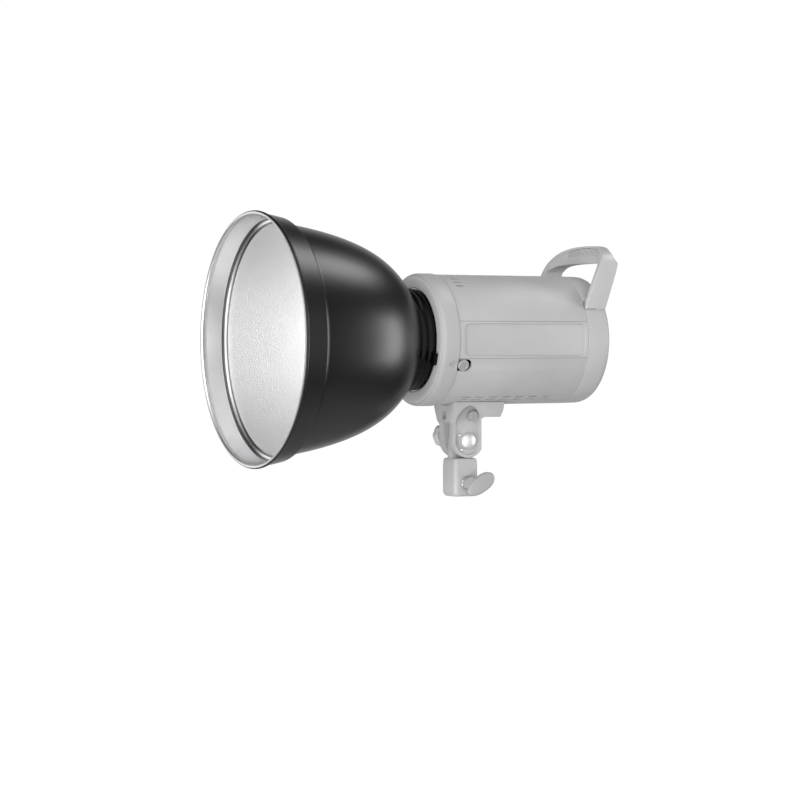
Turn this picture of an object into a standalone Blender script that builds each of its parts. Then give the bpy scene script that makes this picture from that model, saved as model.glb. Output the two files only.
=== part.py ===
"""Monolight studio strobe on its tilting stand bracket, with a deep bayonet reflector.

Metres, +Z up. The origin is the centre of the stand socket's mouth, the strobe points along -Y
and its optical axis is parallel to Y. +X is the strobe's left side, as seen from behind it.
"""

import math

import bmesh
import bpy
from mathutils import Matrix, Vector

# General
GAP = 0.0003            # clearance between pieces that touch
ROUND = 40              # sides of the large turned pieces
SMALL_ROUND = 16        # sides of knobs, bolts and sockets
SMOOTH_ANGLE = math.radians(38)

# Where the strobe sits over the stand socket
AXIS_Z = 0.154          # height of the optical axis
FRONT_Y = -0.0526       # front face of the strobe; distances "back" are counted from it

# Reflector
MOUTH_BACK = -0.1732
MOUTH_RADIUS = 0.1234
COLLAR_BACK = -0.1488
COLLAR_RADIUS = 0.1178
NECK_BACK = -0.0165
NECK_RADIUS = 0.0503
BOWL_CURVE = [(-0.1463, 0.1124), (-0.0735, 0.1015), (-0.0360, 0.0845), (NECK_BACK, NECK_RADIUS)]
BOWL_WALL = 0.0015
BOWL_STEPS = 12
NECK_HOLE = 0.0436

# Bayonet
RING_RADIUS = 0.0500
TUBE_RADIUS = 0.0443
TUBE_BORE = 0.0425
LUG_RADIUS = 0.0488
LUG_FRONT = 0.0052
LUG_REAR = 0.0082
LUG_WIDTH = math.radians(24)
LUG_COUNT = 3
SOCKET_RADIUS = 0.0505
SOCKET_CHANNEL = 0.0492
SOCKET_MOUTH = 0.0447
SOCKET_GAP = math.radians(28)
TWIST = math.radians(20)
FIRST_GAP = math.radians(50)

# Catch that locks the bayonet
PIN_ANGLE = math.radians(-18.5)
PIN_RING = 0.0529       # distance of the pin from the optical axis
PIN_RADIUS = 0.0015
PIN_OUT = 0.0018        # how far the pin stands out of the front face
SLIDE_TRAVEL = 0.0030
BUTTON_ANGLE = math.radians(-22.6)
BUTTON_BACK = 0.0248
BUTTON_RADIUS = 0.0055

# Casing
BUMPER_RADIUS = 0.0650
BUMPER_DEPTH = 0.0185
BUMPER_BORE = 0.0509
CASE_FRONT = BUMPER_DEPTH + GAP
CASE_REAR = 0.1620
CASE_RADIUS_FRONT = 0.0641
CASE_RADIUS_REAR = 0.0634
CASE_WALL = 0.0026
SEAM_ANGLE = math.radians(16.3)
SEAM_GAP = math.radians(0.15)
PLATE_FRONT = 0.0245
PLATE_REAR = 0.1590
PLATE_HALF_HEIGHT = 0.0158
PLATE_DEPTH = 0.0011
TOP_VENT_COUNT = 12
SIDE_VENT_COUNT = 7
SIDE_VENT_PITCH = 0.0150
VENT_WIDTH = 0.0020
RING_REAR = 0.1880
REAR_RING_BORE = 0.0584
REAR_RING_FLANGE = 0.0550
PANEL_FRONT = 0.1760
PANEL_REAR = 0.1790
PANEL_RADIUS = 0.0580

# Carrying handle: curves of its right half, as (across, height above the optical axis)
HANDLE_FOOT = 0.0305
HANDLE_HALF_WIDTH = 0.0570
HANDLE_STRAP = 0.0070
HANDLE_OUTSIDE = [(0.0570, 0.0620), (0.0570, 0.0890), (0.0380, 0.0940), (0.0, 0.0940)]
HANDLE_SEAT = [(0.0500, 0.0620), (0.0500, 0.0840), (0.0360, 0.0918), (0.0, 0.0918)]
HANDLE_INSIDE = [(0.0500, 0.0620), (0.0500, 0.0750), (0.0440, 0.0764), (0.0, 0.0764)]
HANDLE_FRONT = [0.1745, 0.1850, 0.1970, 0.1970]     # how far back its front edge lies along them
HANDLE_FOOT_FRONT = 0.1626
HANDLE_FOOT_DEPTH = 0.0227
HANDLE_LEAN = 0.30                                  # how its front face leans back with height
DEPTH_OUTSIDE = [(0.0, 0.0215), (0.2, 0.0203), (0.3, 0.0142), (0.5, 0.0085), (1.0, 0.0075)]
DEPTH_INSIDE = [(0.0, 0.0215), (0.2, 0.0200), (0.5, 0.0165), (1.0, 0.0140)]
HANDLE_STEPS = 12
GRIP_START = 0.22                                   # share of the curve where the grip begins

# Tilting bracket and stand socket
TILT_Y = 0.0015
TILT_Z = 0.0547
EAR_FRONT = 0.0167
EAR_REAR = 0.0146
EAR_OUT = 0.0148
EAR_FLOOR = 0.0130
EAR_RIM = 0.0028
EAR_IN = 0.0065
TONGUE_HALF = 0.0045
TONGUE_RADIUS = 0.0130
BOLT_RADIUS = 0.0038
BOLT_BORE = 0.0041
KNOB_RISE = 0.0040      # middle of the knob above the tilt axis
HEAD_HALF_WIDTH = 0.0210
HEAD_FRONT = -0.0180
HEAD_REAR = 0.0380
HEAD_BOTTOM = 0.0780
UMBRELLA_Z = 0.0796
UMBRELLA_BORE = 0.0043
UMBRELLA_SCREW_Y = 0.0047
COLUMN_HALF_X = 0.0143
COLUMN_HALF_Y = 0.0133
COLUMN_TOP = 0.0375
SOCKET_BORE = 0.00805
SOCKET_DEPTH = 0.0330
LEVER_Z = 0.0133
LEAF_HALF_LENGTH = 0.0165
LEAF_HALF_WIDTH = 0.0082
LEAF_LEAN = math.radians(33)
LEAF_MIDDLE = (0.0095, -0.0010)     # middle of the leaf: behind and above the screw axis

AXES = {
    "X": (Vector((1, 0, 0)), Vector((0, 1, 0)), Vector((0, 0, 1))),
    "Y": (Vector((0, 1, 0)), Vector((1, 0, 0)), Vector((0, 0, 1))),
    "Z": (Vector((0, 0, 1)), Vector((1, 0, 0)), Vector((0, 1, 0))),
}
STROBE_AXIS = (0.0, FRONT_Y, AXIS_Z)

# Stop pins of the tilt joint as (distance along Y, height)
STOP_PINS = {"stop_pin_upper": (-0.0073, 0.0604), "stop_pin_lower": (-0.0050, 0.0457)}

# Controls on the rear panel: (across, up) from the optical axis, seen from behind the strobe's left
DISPLAY = (-0.0255, 0.0255, 0.0120, 0.0400)
DIAL = (0.0, -0.0080)
DIAL_RADIUS = 0.0140
BUTTONS = {
    "test_button": (0.0340, 0.0030),
    "lamp_button": (0.0340, -0.0090),
    "sound_button": (-0.0340, 0.0030),
    "slave_button": (-0.0340, -0.0090),
}
BUTTON_HALF = (0.0055, 0.0034)
ROCKER = (-0.0220, -0.0365)
ROCKER_HALF = (0.0060, 0.0088)
ROCKER_PIVOT_BACK = 0.1755
INLET = (0.0080, -0.0365)
INLET_HALF = (0.0135, 0.0098)
FUSE = (0.0370, -0.0250)
SYNC = (0.0370, 0.0200)
SENSOR = (-0.0370, 0.0200)

# Cooling fan
FAN_FRONT = 0.0330
FAN_REAR = 0.0480
FAN_BORE = 0.0285
BLADE_COUNT = 7


# --- Materials ---------------------------------------------------------------------------------

def make_material(name, colour, roughness, metallic=0.0):
    """Plain stand-in material."""
    material = bpy.data.materials.new(name)
    material.use_nodes = True
    shader = material.node_tree.nodes["Principled BSDF"]
    shader.inputs["Base Color"].default_value = (*colour, 1.0)
    shader.inputs["Roughness"].default_value = roughness
    shader.inputs["Metallic"].default_value = metallic
    material.diffuse_color = (*colour, 1.0)
    return material


# --- Shapes ------------------------------------------------------------------------------------

def join_rings(bm, first, second):
    """Faces between two rings of points; a ring of one point is a tip on the axis."""
    count = max(len(first), len(second))
    if count == 1:
        return
    for step in range(count):
        after = (step + 1) % count
        corners = [first[step % len(first)], first[after % len(first)]]
        corners += [second[after % len(second)], second[step % len(second)]]
        bm.faces.new(list(dict.fromkeys(corners)))


def turned(outline, centre, axis, steps=ROUND):
    """Solid of revolution. The outline holds its (distance along the axis, radius) corners."""
    along, side, up = AXES[axis]
    bm = bmesh.new()
    rings = []
    for distance, radius in outline:
        middle = Vector(centre) + along * distance
        count = steps if radius > 0 else 1
        ring = []
        for step in range(count):
            angle = 2 * math.pi * step / steps
            offset = side * (radius * math.cos(angle)) + up * (radius * math.sin(angle))
            ring.append(bm.verts.new(middle + offset))
        rings.append(ring)
    for first, second in zip(rings, rings[1:] + rings[:1]):
        join_rings(bm, first, second)
    bmesh.ops.recalc_face_normals(bm, faces=bm.faces)
    return bm


def lofted(sections, centre, axis):
    """Solid through flat sections. Each section is (distance along the axis, outline)."""
    along, side, up = AXES[axis]
    bm = bmesh.new()
    rings = []
    for distance, outline in sections:
        middle = Vector(centre) + along * distance
        rings.append([bm.verts.new(middle + side * a + up * b) for a, b in outline])
    for first, second in zip(rings, rings[1:]):
        join_rings(bm, first, second)
    bm.faces.new(rings[0])
    bm.faces.new(rings[-1])
    bmesh.ops.recalc_face_normals(bm, faces=bm.faces)
    return bm


def prism(outline, low, high, centre, axis):
    """Outline drawn out along an axis, between two heights."""
    return lofted([(low, outline), (high, outline)], centre, axis)


def rod(radius, low, high, centre, axis, steps=SMALL_ROUND):
    """Round bar along an axis."""
    angles = [2 * math.pi * step / steps for step in range(steps)]
    circle = [(radius * math.cos(angle), radius * math.sin(angle)) for angle in angles]
    return prism(circle, low, high, centre, axis)


def swept(path, radius, sides=8):
    """Round bar along a path of points."""
    bm = bmesh.new()
    rings = []
    heading = (path[1] - path[0]).normalized()
    side = heading.orthogonal().normalized()
    for number, point in enumerate(path):
        before = path[max(number - 1, 0)]
        after = path[min(number + 1, len(path) - 1)]
        turn = heading.rotation_difference(after - before)
        heading = (after - before).normalized()
        side = (turn @ side).normalized()
        up = heading.cross(side)
        ring = []
        for step in range(sides):
            angle = 2 * math.pi * step / sides
            offset = side * math.cos(angle) + up * math.sin(angle)
            ring.append(bm.verts.new(point + offset * radius))
        rings.append(ring)
    for first, second in zip(rings, rings[1:]):
        join_rings(bm, first, second)
    bm.faces.new(rings[0])
    bm.faces.new(rings[-1])
    bmesh.ops.recalc_face_normals(bm, faces=bm.faces)
    return bm


def cubic(corners, share):
    """Point (or plain number) at a share of the way along a cubic Bezier curve."""
    rest = 1 - share
    weights = [rest ** 3, 3 * share * rest ** 2, 3 * share ** 2 * rest, share ** 3]
    if isinstance(corners[0], tuple):
        return tuple(sum(weight * corner[axis] for weight, corner in zip(weights, corners))
                     for axis in (0, 1))
    return sum(weight * corner for weight, corner in zip(weights, corners))


def rectangle(left, right, bottom, top):
    """Four corners, in turn."""
    return [(left, bottom), (right, bottom), (right, top), (left, top)]


def rounded_rectangle(left, right, bottom, top, radius, steps=4):
    """Rectangle with its corners rounded off."""
    corners = [
        (right - radius, top - radius, 0),
        (left + radius, top - radius, 1),
        (left + radius, bottom + radius, 2),
        (right - radius, bottom + radius, 3),
    ]
    points = []
    for a, b, quarter in corners:
        for step in range(steps + 1):
            angle = math.pi / 2 * (quarter + step / steps)
            points.append((a + radius * math.cos(angle), b + radius * math.sin(angle)))
    return points


def arc_band(inner, outer, start, end, steps):
    """Outline of a curved strip between two radii and two angles."""
    angles = [start + (end - start) * step / steps for step in range(steps + 1)]
    points = [(outer * math.cos(angle), outer * math.sin(angle)) for angle in angles]
    points += [(inner * math.cos(angle), inner * math.sin(angle)) for angle in reversed(angles)]
    return points


def spun_about_axis(bm, angle):
    """Turns a shape about the strobe's optical axis, from +X towards +Z."""
    centre = Vector(STROBE_AXIS)
    turn = Matrix.Translation(centre) @ Matrix.Rotation(-angle, 4, "Y") @ Matrix.Translation(-centre)
    bmesh.ops.transform(bm, matrix=turn, verts=bm.verts)
    return bm


def as_object(name, bm):
    """Mesh being built, turned into an object of the scene."""
    mesh = bpy.data.meshes.new(name)
    bm.to_mesh(mesh)
    bm.free()
    obj = bpy.data.objects.new(name, mesh)
    bpy.context.collection.objects.link(obj)
    return obj


def combine(target, shape, operation):
    """Adds a shape to an object, or takes it away, for good."""
    tool = as_object("tool", shape)
    modifier = target.modifiers.new("combine", "BOOLEAN")
    modifier.solver = "EXACT"
    modifier.operation = operation
    modifier.object = tool
    evaluated = target.evaluated_get(bpy.context.evaluated_depsgraph_get())
    mesh = bpy.data.meshes.new_from_object(evaluated)
    target.modifiers.clear()
    target.data = mesh
    bpy.data.objects.remove(tool)


def piece(name, bm, material, body, adds=(), keeps=(), cuts=()):
    """One finished sub-part, which rides on the empty of its body."""
    obj = as_object(name, bm)
    for shape in adds:
        combine(obj, shape, "UNION")
    for shape in keeps:
        combine(obj, shape, "INTERSECT")
    for shape in cuts:
        combine(obj, shape, "DIFFERENCE")
    obj.data.materials.clear()
    obj.data.materials.append(material)
    obj.data.shade_smooth()
    obj.data.set_sharp_from_angle(angle=SMOOTH_ANGLE)
    obj.parent = body
    obj.matrix_parent_inverse = Matrix.Translation(body.location).inverted()
    return obj


def body(name, place):
    """Empty on a body's joint axis, which carries the body's pieces."""
    empty = bpy.data.objects.new(name, None)
    bpy.context.collection.objects.link(empty)
    empty.location = place
    empty.empty_display_size = 0.02
    return empty


# --- Reflector ---------------------------------------------------------------------------------

def bowl_outer():
    """(distance back, radius) from the step behind the collar to the neck."""
    return [cubic(BOWL_CURVE, step / BOWL_STEPS) for step in range(BOWL_STEPS + 1)]


def offset_inward(points, distance):
    """The same line moved towards the axis side, square to its own run."""
    moved = []
    for number, (back, radius) in enumerate(points):
        before = points[max(number - 1, 0)]
        after = points[min(number + 1, len(points) - 1)]
        run = Vector((after[0] - before[0], after[1] - before[1])).normalized()
        moved.append((back + run.y * distance, radius - run.x * distance))
    return moved


def reflector_bowl(material, holder):
    """Spun bowl of thin sheet, with its wide collar and rolled bead."""
    collar = [(MOUTH_BACK + 0.0038, MOUTH_RADIUS - 0.0014), (COLLAR_BACK, COLLAR_RADIUS)]
    step = [
        (COLLAR_BACK + 0.0014, COLLAR_RADIUS - 0.0016),
        (BOWL_CURVE[0][0] - 0.0004, COLLAR_RADIUS - 0.0040),
    ]
    skin = collar + step + bowl_outer()
    bead = [
        (MOUTH_BACK + 0.0026, MOUTH_RADIUS - 0.0041),
        (MOUTH_BACK + 0.0008, MOUTH_RADIUS - 0.0038),
        (MOUTH_BACK, MOUTH_RADIUS - 0.0026),
        (MOUTH_BACK, MOUTH_RADIUS - 0.0015),
        (MOUTH_BACK + 0.0008, MOUTH_RADIUS - 0.0003),
        (MOUTH_BACK + 0.0018, MOUTH_RADIUS),
        (MOUTH_BACK + 0.0030, MOUTH_RADIUS - 0.0002),
    ]
    inner = offset_inward(skin, BOWL_WALL)
    inner[-1] = (NECK_BACK - BOWL_WALL, NECK_RADIUS - BOWL_WALL)
    neck = [(NECK_BACK, NECK_HOLE), (NECK_BACK - BOWL_WALL, NECK_HOLE)]
    outline = bead + skin + neck + inner[::-1]
    piece("reflector_bowl", turned(outline, STROBE_AXIS, "Y"), material, holder)


def bayonet_ring(material, holder):
    """Ring at the back of the bowl, with its lugs and its catch slot."""
    flange_front = NECK_BACK + GAP
    outline = [
        (flange_front, TUBE_BORE),
        (flange_front, RING_RADIUS),
        (-0.0110, RING_RADIUS),
        (-0.0100, RING_RADIUS - 0.0012),
        (-0.0080, RING_RADIUS - 0.0012),
        (-0.0070, RING_RADIUS),
        (-0.0004, RING_RADIUS),
        (-0.0004, TUBE_RADIUS),
        (0.0090, TUBE_RADIUS),
        (0.0090, TUBE_BORE),
    ]
    lugs = []
    for number in range(LUG_COUNT):
        middle = FIRST_GAP - TWIST + 2 * math.pi * number / LUG_COUNT
        band = arc_band(TUBE_RADIUS - 0.0008, LUG_RADIUS, middle - LUG_WIDTH / 2, middle + LUG_WIDTH / 2, 3)
        lugs.append(prism(band, LUG_FRONT, LUG_REAR, STROBE_AXIS, "Y"))
    catch = prism(rectangle(-0.0045, -0.0004, -0.0070, 0.0047), RING_RADIUS - 0.0012, RING_RADIUS + 0.0062,
                  STROBE_AXIS, "X")
    # The pin drops into this slot; its floor slopes so that the pin and the ring move together.
    slot_outline = [(0.0010, 0.0022), (-0.0024, 0.0022), (-0.0024, 0.0)]
    slot_outline += [(-0.0008, -0.0110), (0.0010, -0.0110)]
    slot = prism(slot_outline, RING_RADIUS + 0.0006, RING_RADIUS + 0.0048, STROBE_AXIS, "X")
    piece(
        "bayonet_ring",
        turned(outline, STROBE_AXIS, "Y"),
        material,
        holder,
        adds=lugs + [spun_about_axis(catch, PIN_ANGLE)],
        cuts=[spun_about_axis(slot, PIN_ANGLE)],
    )


# --- Front of the strobe -----------------------------------------------------------------------

def front_bumper(material, holder):
    """Moulded ring around the front of the casing."""
    wall = 0.0032
    outline = [
        (0.0, BUMPER_BORE),
        (0.0, 0.0602),
        (0.0009, 0.0624),
        (0.0026, 0.0641),
        (0.0050, BUMPER_RADIUS),
        (BUMPER_DEPTH, BUMPER_RADIUS),
        (BUMPER_DEPTH, BUMPER_RADIUS - wall),
        (wall, BUMPER_RADIUS - wall),
        (wall, BUMPER_BORE),
    ]
    hole = rod(PIN_RADIUS + 0.0004, -0.002, wall + 0.001, (PIN_RING, FRONT_Y, AXIS_Z), "Y", 10)
    piece(
        "front_bumper",
        turned(outline, STROBE_AXIS, "Y"),
        material,
        holder,
        cuts=[spun_about_axis(hole, PIN_ANGLE)],
    )


def bayonet_socket(material, holder):
    """Metal ring that takes the lugs of a reflector."""
    outline = [
        (0.0004, SOCKET_CHANNEL),
        (0.0004, SOCKET_RADIUS),
        (0.0120, SOCKET_RADIUS),
        (0.0120, SOCKET_MOUTH),
        (0.0092, SOCKET_MOUTH),
        (0.0092, SOCKET_CHANNEL),
    ]
    tabs = []
    for number in range(LUG_COUNT):
        gap_middle = FIRST_GAP + 2 * math.pi * number / LUG_COUNT
        start = gap_middle + SOCKET_GAP / 2
        end = gap_middle + 2 * math.pi / LUG_COUNT - SOCKET_GAP / 2
        band = arc_band(SOCKET_MOUTH, SOCKET_CHANNEL + 0.0005, start, end, 8)
        tabs.append(prism(band, 0.0004, 0.0045, STROBE_AXIS, "Y"))
    piece("bayonet_socket", turned(outline, STROBE_AXIS, "Y"), material, holder, adds=tabs)


def lock_slide(button_material, pin_material, holder):
    """Catch: its pin, its carriage and the button on the side."""
    pin = rod(PIN_RADIUS, -PIN_OUT, 0.0190, (PIN_RING, FRONT_Y, AXIS_Z), "Y", 10)
    piece("lock_pin", spun_about_axis(pin, PIN_ANGLE), pin_material, holder)
    carriage_outline = rectangle(0.0193, 0.0300, -0.0050, 0.0062)
    carriage = prism(carriage_outline, 0.0495, 0.0592, STROBE_AXIS, "X")
    centre = (0.0, FRONT_Y + BUTTON_BACK, AXIS_Z)
    button = turned(
        [(0.0580, 0), (0.0580, BUTTON_RADIUS), (0.0644, BUTTON_RADIUS), (0.0652, 0.0046), (0.0652, 0)],
        centre,
        "X",
        20,
    )
    piece(
        "lock_slide",
        spun_about_axis(carriage, BUTTON_ANGLE),
        button_material,
        holder,
        adds=[spun_about_axis(button, BUTTON_ANGLE)],
    )


def lamp_parts(materials, holder):
    """Ceramic plate, ring flash tube and modelling lamp in its socket."""
    plate_outline = [(0.0140, 0.0150), (0.0140, 0.0490), (0.0175, 0.0490), (0.0175, 0.0150)]
    leg_angles = [math.radians(-90 - 11), math.radians(-90 + 11)]
    tube_ring = 0.0330
    leg_holes = []
    for angle in leg_angles:
        place = (tube_ring * math.cos(angle), FRONT_Y, AXIS_Z + tube_ring * math.sin(angle))
        leg_holes.append(rod(0.0046, 0.012, 0.020, place, "Y", 12))
    piece("lamp_base", turned(plate_outline, STROBE_AXIS, "Y"), materials["ceramic"], holder, cuts=leg_holes)

    path = []
    corner = 0.0030
    arc_steps = 26
    front = 0.0010
    for distance in (0.0215, front + corner):
        path.append((distance, leg_angles[1]))
    sweep = 2 * math.pi - (leg_angles[1] - leg_angles[0])
    for step in range(arc_steps + 1):
        path.append((front, leg_angles[1] + math.radians(4) + (sweep - math.radians(8)) * step / arc_steps))
    for distance in (front + corner, 0.0215):
        path.append((distance, leg_angles[0]))
    points = []
    for back, angle in path:
        across = Vector((math.cos(angle), 0, math.sin(angle))) * tube_ring
        points.append(Vector((0, FRONT_Y + back, AXIS_Z)) + across)
    piece("flash_tube", swept(points, 0.0038), materials["glass"], holder)

    bulb = [
        (-0.0220, 0),
        (-0.0208, 0.0070),
        (-0.0165, 0.0128),
        (-0.0090, 0.0160),
        (-0.0010, 0.0150),
        (0.0050, 0.0118),
        (0.0105, 0.0108),
        (0.0105, 0),
    ]
    piece("modelling_lamp", turned(bulb, STROBE_AXIS, "Y", SMALL_ROUND), materials["bulb"], holder)
    piece("lamp_socket", rod(0.0140, 0.0108, 0.0290, STROBE_AXIS, "Y"), materials["ceramic"], holder)


# --- Casing ------------------------------------------------------------------------------------

def case_radius(back):
    """Outer radius of the tapering casing, by the distance behind the front."""
    share = (back - CASE_FRONT) / (CASE_REAR - CASE_FRONT)
    return CASE_RADIUS_FRONT + (CASE_RADIUS_REAR - CASE_RADIUS_FRONT) * share


def case_sector(start, end, steps):
    """Part of the tapering casing between two angles."""
    sections = []
    for back in (CASE_FRONT, CASE_REAR):
        radius = case_radius(back)
        sections.append((back, arc_band(radius - CASE_WALL, radius, start, end, steps)))
    return lofted(sections, STROBE_AXIS, "Y")


def vent_cutter(angle, start, length):
    """Cutter for one vent slot through the casing's wall."""
    outline = rectangle(start, start + length, -VENT_WIDTH / 2, VENT_WIDTH / 2)
    return spun_about_axis(prism(outline, 0.0580, 0.0680, STROBE_AXIS, "X"), angle)


def casing(material, holder):
    """Two half shells and the two side panels set into them."""
    top_vents = []
    for number in range(TOP_VENT_COUNT):
        angle = math.radians(55 + 70 * number / (TOP_VENT_COUNT - 1))
        top_vents.append(vent_cutter(angle, 0.0290, 0.0080))
    start = SEAM_ANGLE + SEAM_GAP
    upper = case_sector(start, math.pi - start, 20)
    piece("upper_shell", upper, material, holder, cuts=top_vents)

    lower_cuts = []
    for angle in (-61.6, -66.7, -118.4, -113.3):
        for number in range(SIDE_VENT_COUNT):
            back = 0.0385 + SIDE_VENT_PITCH * number
            lower_cuts.append(vent_cutter(math.radians(angle), back, 0.0095))
    notch_reach = BUTTON_RADIUS + 0.0006
    notch_end = BUTTON_BACK + SLIDE_TRAVEL
    notch_outline = [(0.0100, notch_reach), (0.0100, -notch_reach), (notch_end, -notch_reach)]
    for step in range(1, 8):
        angle = -math.pi / 2 + math.pi * step / 8
        notch_outline.append((notch_end + notch_reach * math.cos(angle), notch_reach * math.sin(angle)))
    notch_outline.append((notch_end, notch_reach))
    notch = prism(notch_outline, 0.0570, 0.0700, STROBE_AXIS, "X")
    lower_cuts.append(spun_about_axis(notch, BUTTON_ANGLE))
    lower = case_sector(math.pi + start, 2 * math.pi - start, 20)
    piece("lower_shell", lower, material, holder, cuts=lower_cuts)

    start = SEAM_ANGLE - SEAM_GAP
    plate_outline = rounded_rectangle(
        PLATE_FRONT, PLATE_REAR, -PLATE_HALF_HEIGHT, PLATE_HALF_HEIGHT, 0.0040, 2
    )
    for name, middle in (("left_side_panel", 0.0), ("right_side_panel", math.pi)):
        strip = case_sector(middle - start, middle + start, 6)
        sections = []
        for back in (0.0, CASE_REAR + 0.01):
            radius = case_radius(back) - PLATE_DEPTH
            sections.append((back, arc_band(radius, 0.075, middle - 0.4, middle + 0.4, 8)))
        recess = as_object("recess", lofted(sections, STROBE_AXIS, "Y"))
        window = spun_about_axis(prism(plate_outline, 0.050, 0.080, STROBE_AXIS, "X"), middle)
        combine(recess, window, "INTERSECT")
        cutter = bmesh.new()
        cutter.from_mesh(recess.data)
        bpy.data.objects.remove(recess)
        piece(name, strip, material, holder, cuts=[cutter])


def between(table, share):
    """Value at a share of the way, from a short table of (share, value)."""
    for (start, first), (end, last) in zip(table, table[1:]):
        if share <= end:
            return first + (last - first) * (share - start) / (end - start)
    return table[-1][1]


def handle_edge(curve, share, inset=0.0):
    """Front and rear points of the handle at a share of one of its curves."""
    across, height = cubic(curve, share)
    outside = cubic(HANDLE_OUTSIDE, share)[1]
    inside = cubic(HANDLE_INSIDE, share)[1]
    depth_share = (outside - height) / (outside - inside) if outside > inside else 0.0
    depth = between(DEPTH_OUTSIDE, share) * (1 - depth_share) + between(DEPTH_INSIDE, share) * depth_share
    front = cubic(HANDLE_FRONT, share) - HANDLE_LEAN * (outside - height)
    return [
        Vector((across, FRONT_Y + front + inset, AXIS_Z + height)),
        Vector((across, FRONT_Y + front + depth - inset, AXIS_Z + height)),
    ]


def handle_section(outer, inner, share, gap=0.0):
    """Four corners of the handle's section, the outer pair moved inward by the gap."""
    front, rear = handle_edge(outer, share, gap)
    inner_front, inner_rear = handle_edge(inner, share, gap)
    run = (inner_front - front).normalized() * gap
    return [front + run, rear + run, inner_rear, inner_front]


def handle_foot():
    """Section at the foot of the right leg."""
    corners = []
    for across, back in ((0, 0), (0, 1), (1, 1), (1, 0)):
        x = HANDLE_HALF_WIDTH - HANDLE_STRAP * across
        y = FRONT_Y + HANDLE_FOOT_FRONT + HANDLE_FOOT_DEPTH * back
        corners.append(Vector((x, y, AXIS_Z + HANDLE_FOOT)))
    return corners


def mirrored_sweep(sections):
    """Solid through the right half's sections and their mirror images."""
    bm = bmesh.new()
    left = [[Vector((-point.x, point.y, point.z)) for point in section] for section in sections[:-1]]
    rings = []
    for section in sections + left[::-1]:
        rings.append([bm.verts.new(point) for point in section])
    for first, second in zip(rings, rings[1:]):
        join_rings(bm, first, second)
    bm.faces.new(rings[0])
    bm.faces.new(rings[-1])
    bmesh.ops.triangulate(bm, faces=bm.faces)
    bmesh.ops.recalc_face_normals(bm, faces=bm.faces)
    return bm


def handle(frame_material, grip_material, holder):
    """Arched handle whose bar bows back, and the soft grip that fills the bar's underside."""
    shares = []
    for step in range(HANDLE_STEPS + 1):
        shares.append(GRIP_START + (1 - GRIP_START) * step / HANDLE_STEPS)
    frame = [handle_foot()]
    for share in [0.0, GRIP_START / 2] + shares:
        frame.append(handle_section(HANDLE_OUTSIDE, HANDLE_SEAT, share))
    piece("handle_frame", mirrored_sweep(frame), frame_material, holder)
    grip = [handle_section(HANDLE_SEAT, HANDLE_INSIDE, share, GAP) for share in shares]
    piece("handle_grip", mirrored_sweep(grip), grip_material, holder)


def rear_ring(material, holder):
    """Moulded ring around the rear panel."""
    outline = [
        (CASE_REAR + GAP, CASE_RADIUS_REAR),
        (0.1820, 0.0630),
        (0.1860, 0.0616),
        (RING_REAR, 0.0592),
        (RING_REAR, REAR_RING_BORE),
        (PANEL_FRONT - GAP, REAR_RING_BORE),
        (PANEL_FRONT - GAP, REAR_RING_FLANGE),
        (CASE_REAR + GAP, REAR_RING_FLANGE),
    ]
    slots = []
    for side in (-1, 1):
        edges = sorted((side * (HANDLE_HALF_WIDTH - HANDLE_STRAP - 0.0012), side * 0.070))
        slot = rectangle(edges[0], edges[1], HANDLE_FOOT - GAP, 0.0480)
        slots.append(prism(slot, 0.1500, 0.1950, STROBE_AXIS, "Y"))
    piece("rear_ring", turned(outline, STROBE_AXIS, "Y"), material, holder, cuts=slots)


# --- Rear panel and its controls ---------------------------------------------------------------

def panel_point(place, back=0.0):
    """Point on the rear panel, from its place across and up."""
    return (place[0], FRONT_Y + back, AXIS_Z + place[1])


def widened(half, extra):
    """Rectangle about the middle, from its half sizes, made larger all round."""
    return rectangle(-half[0] - extra, half[0] + extra, -half[1] - extra, half[1] + extra)


def rear_panel(material, holder):
    """Round plate with an opening for each of its fittings."""
    plate = rod(PANEL_RADIUS, PANEL_FRONT, PANEL_REAR, STROBE_AXIS, "Y", ROUND)
    low, high = PANEL_FRONT - 0.003, PANEL_REAR + 0.003
    window = rectangle(DISPLAY[0] - GAP, DISPLAY[1] + GAP, DISPLAY[2] - GAP, DISPLAY[3] + GAP)
    holes = [prism(window, low, high, STROBE_AXIS, "Y")]
    for place in BUTTONS.values():
        holes.append(prism(widened(BUTTON_HALF, 0.0003), low, high, panel_point(place), "Y"))
    holes.append(prism(widened(ROCKER_HALF, 0.0012), low, high, panel_point(ROCKER), "Y"))
    holes.append(prism(widened(INLET_HALF, GAP), low, high, panel_point(INLET), "Y"))
    for place, radius in ((DIAL, 0.0034), (FUSE, 0.0058), (SYNC, 0.0048), (SENSOR, 0.0053)):
        holes.append(rod(radius, low, high, panel_point(place), "Y"))
    piece("rear_panel", plate, material, holder, cuts=holes)


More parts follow.
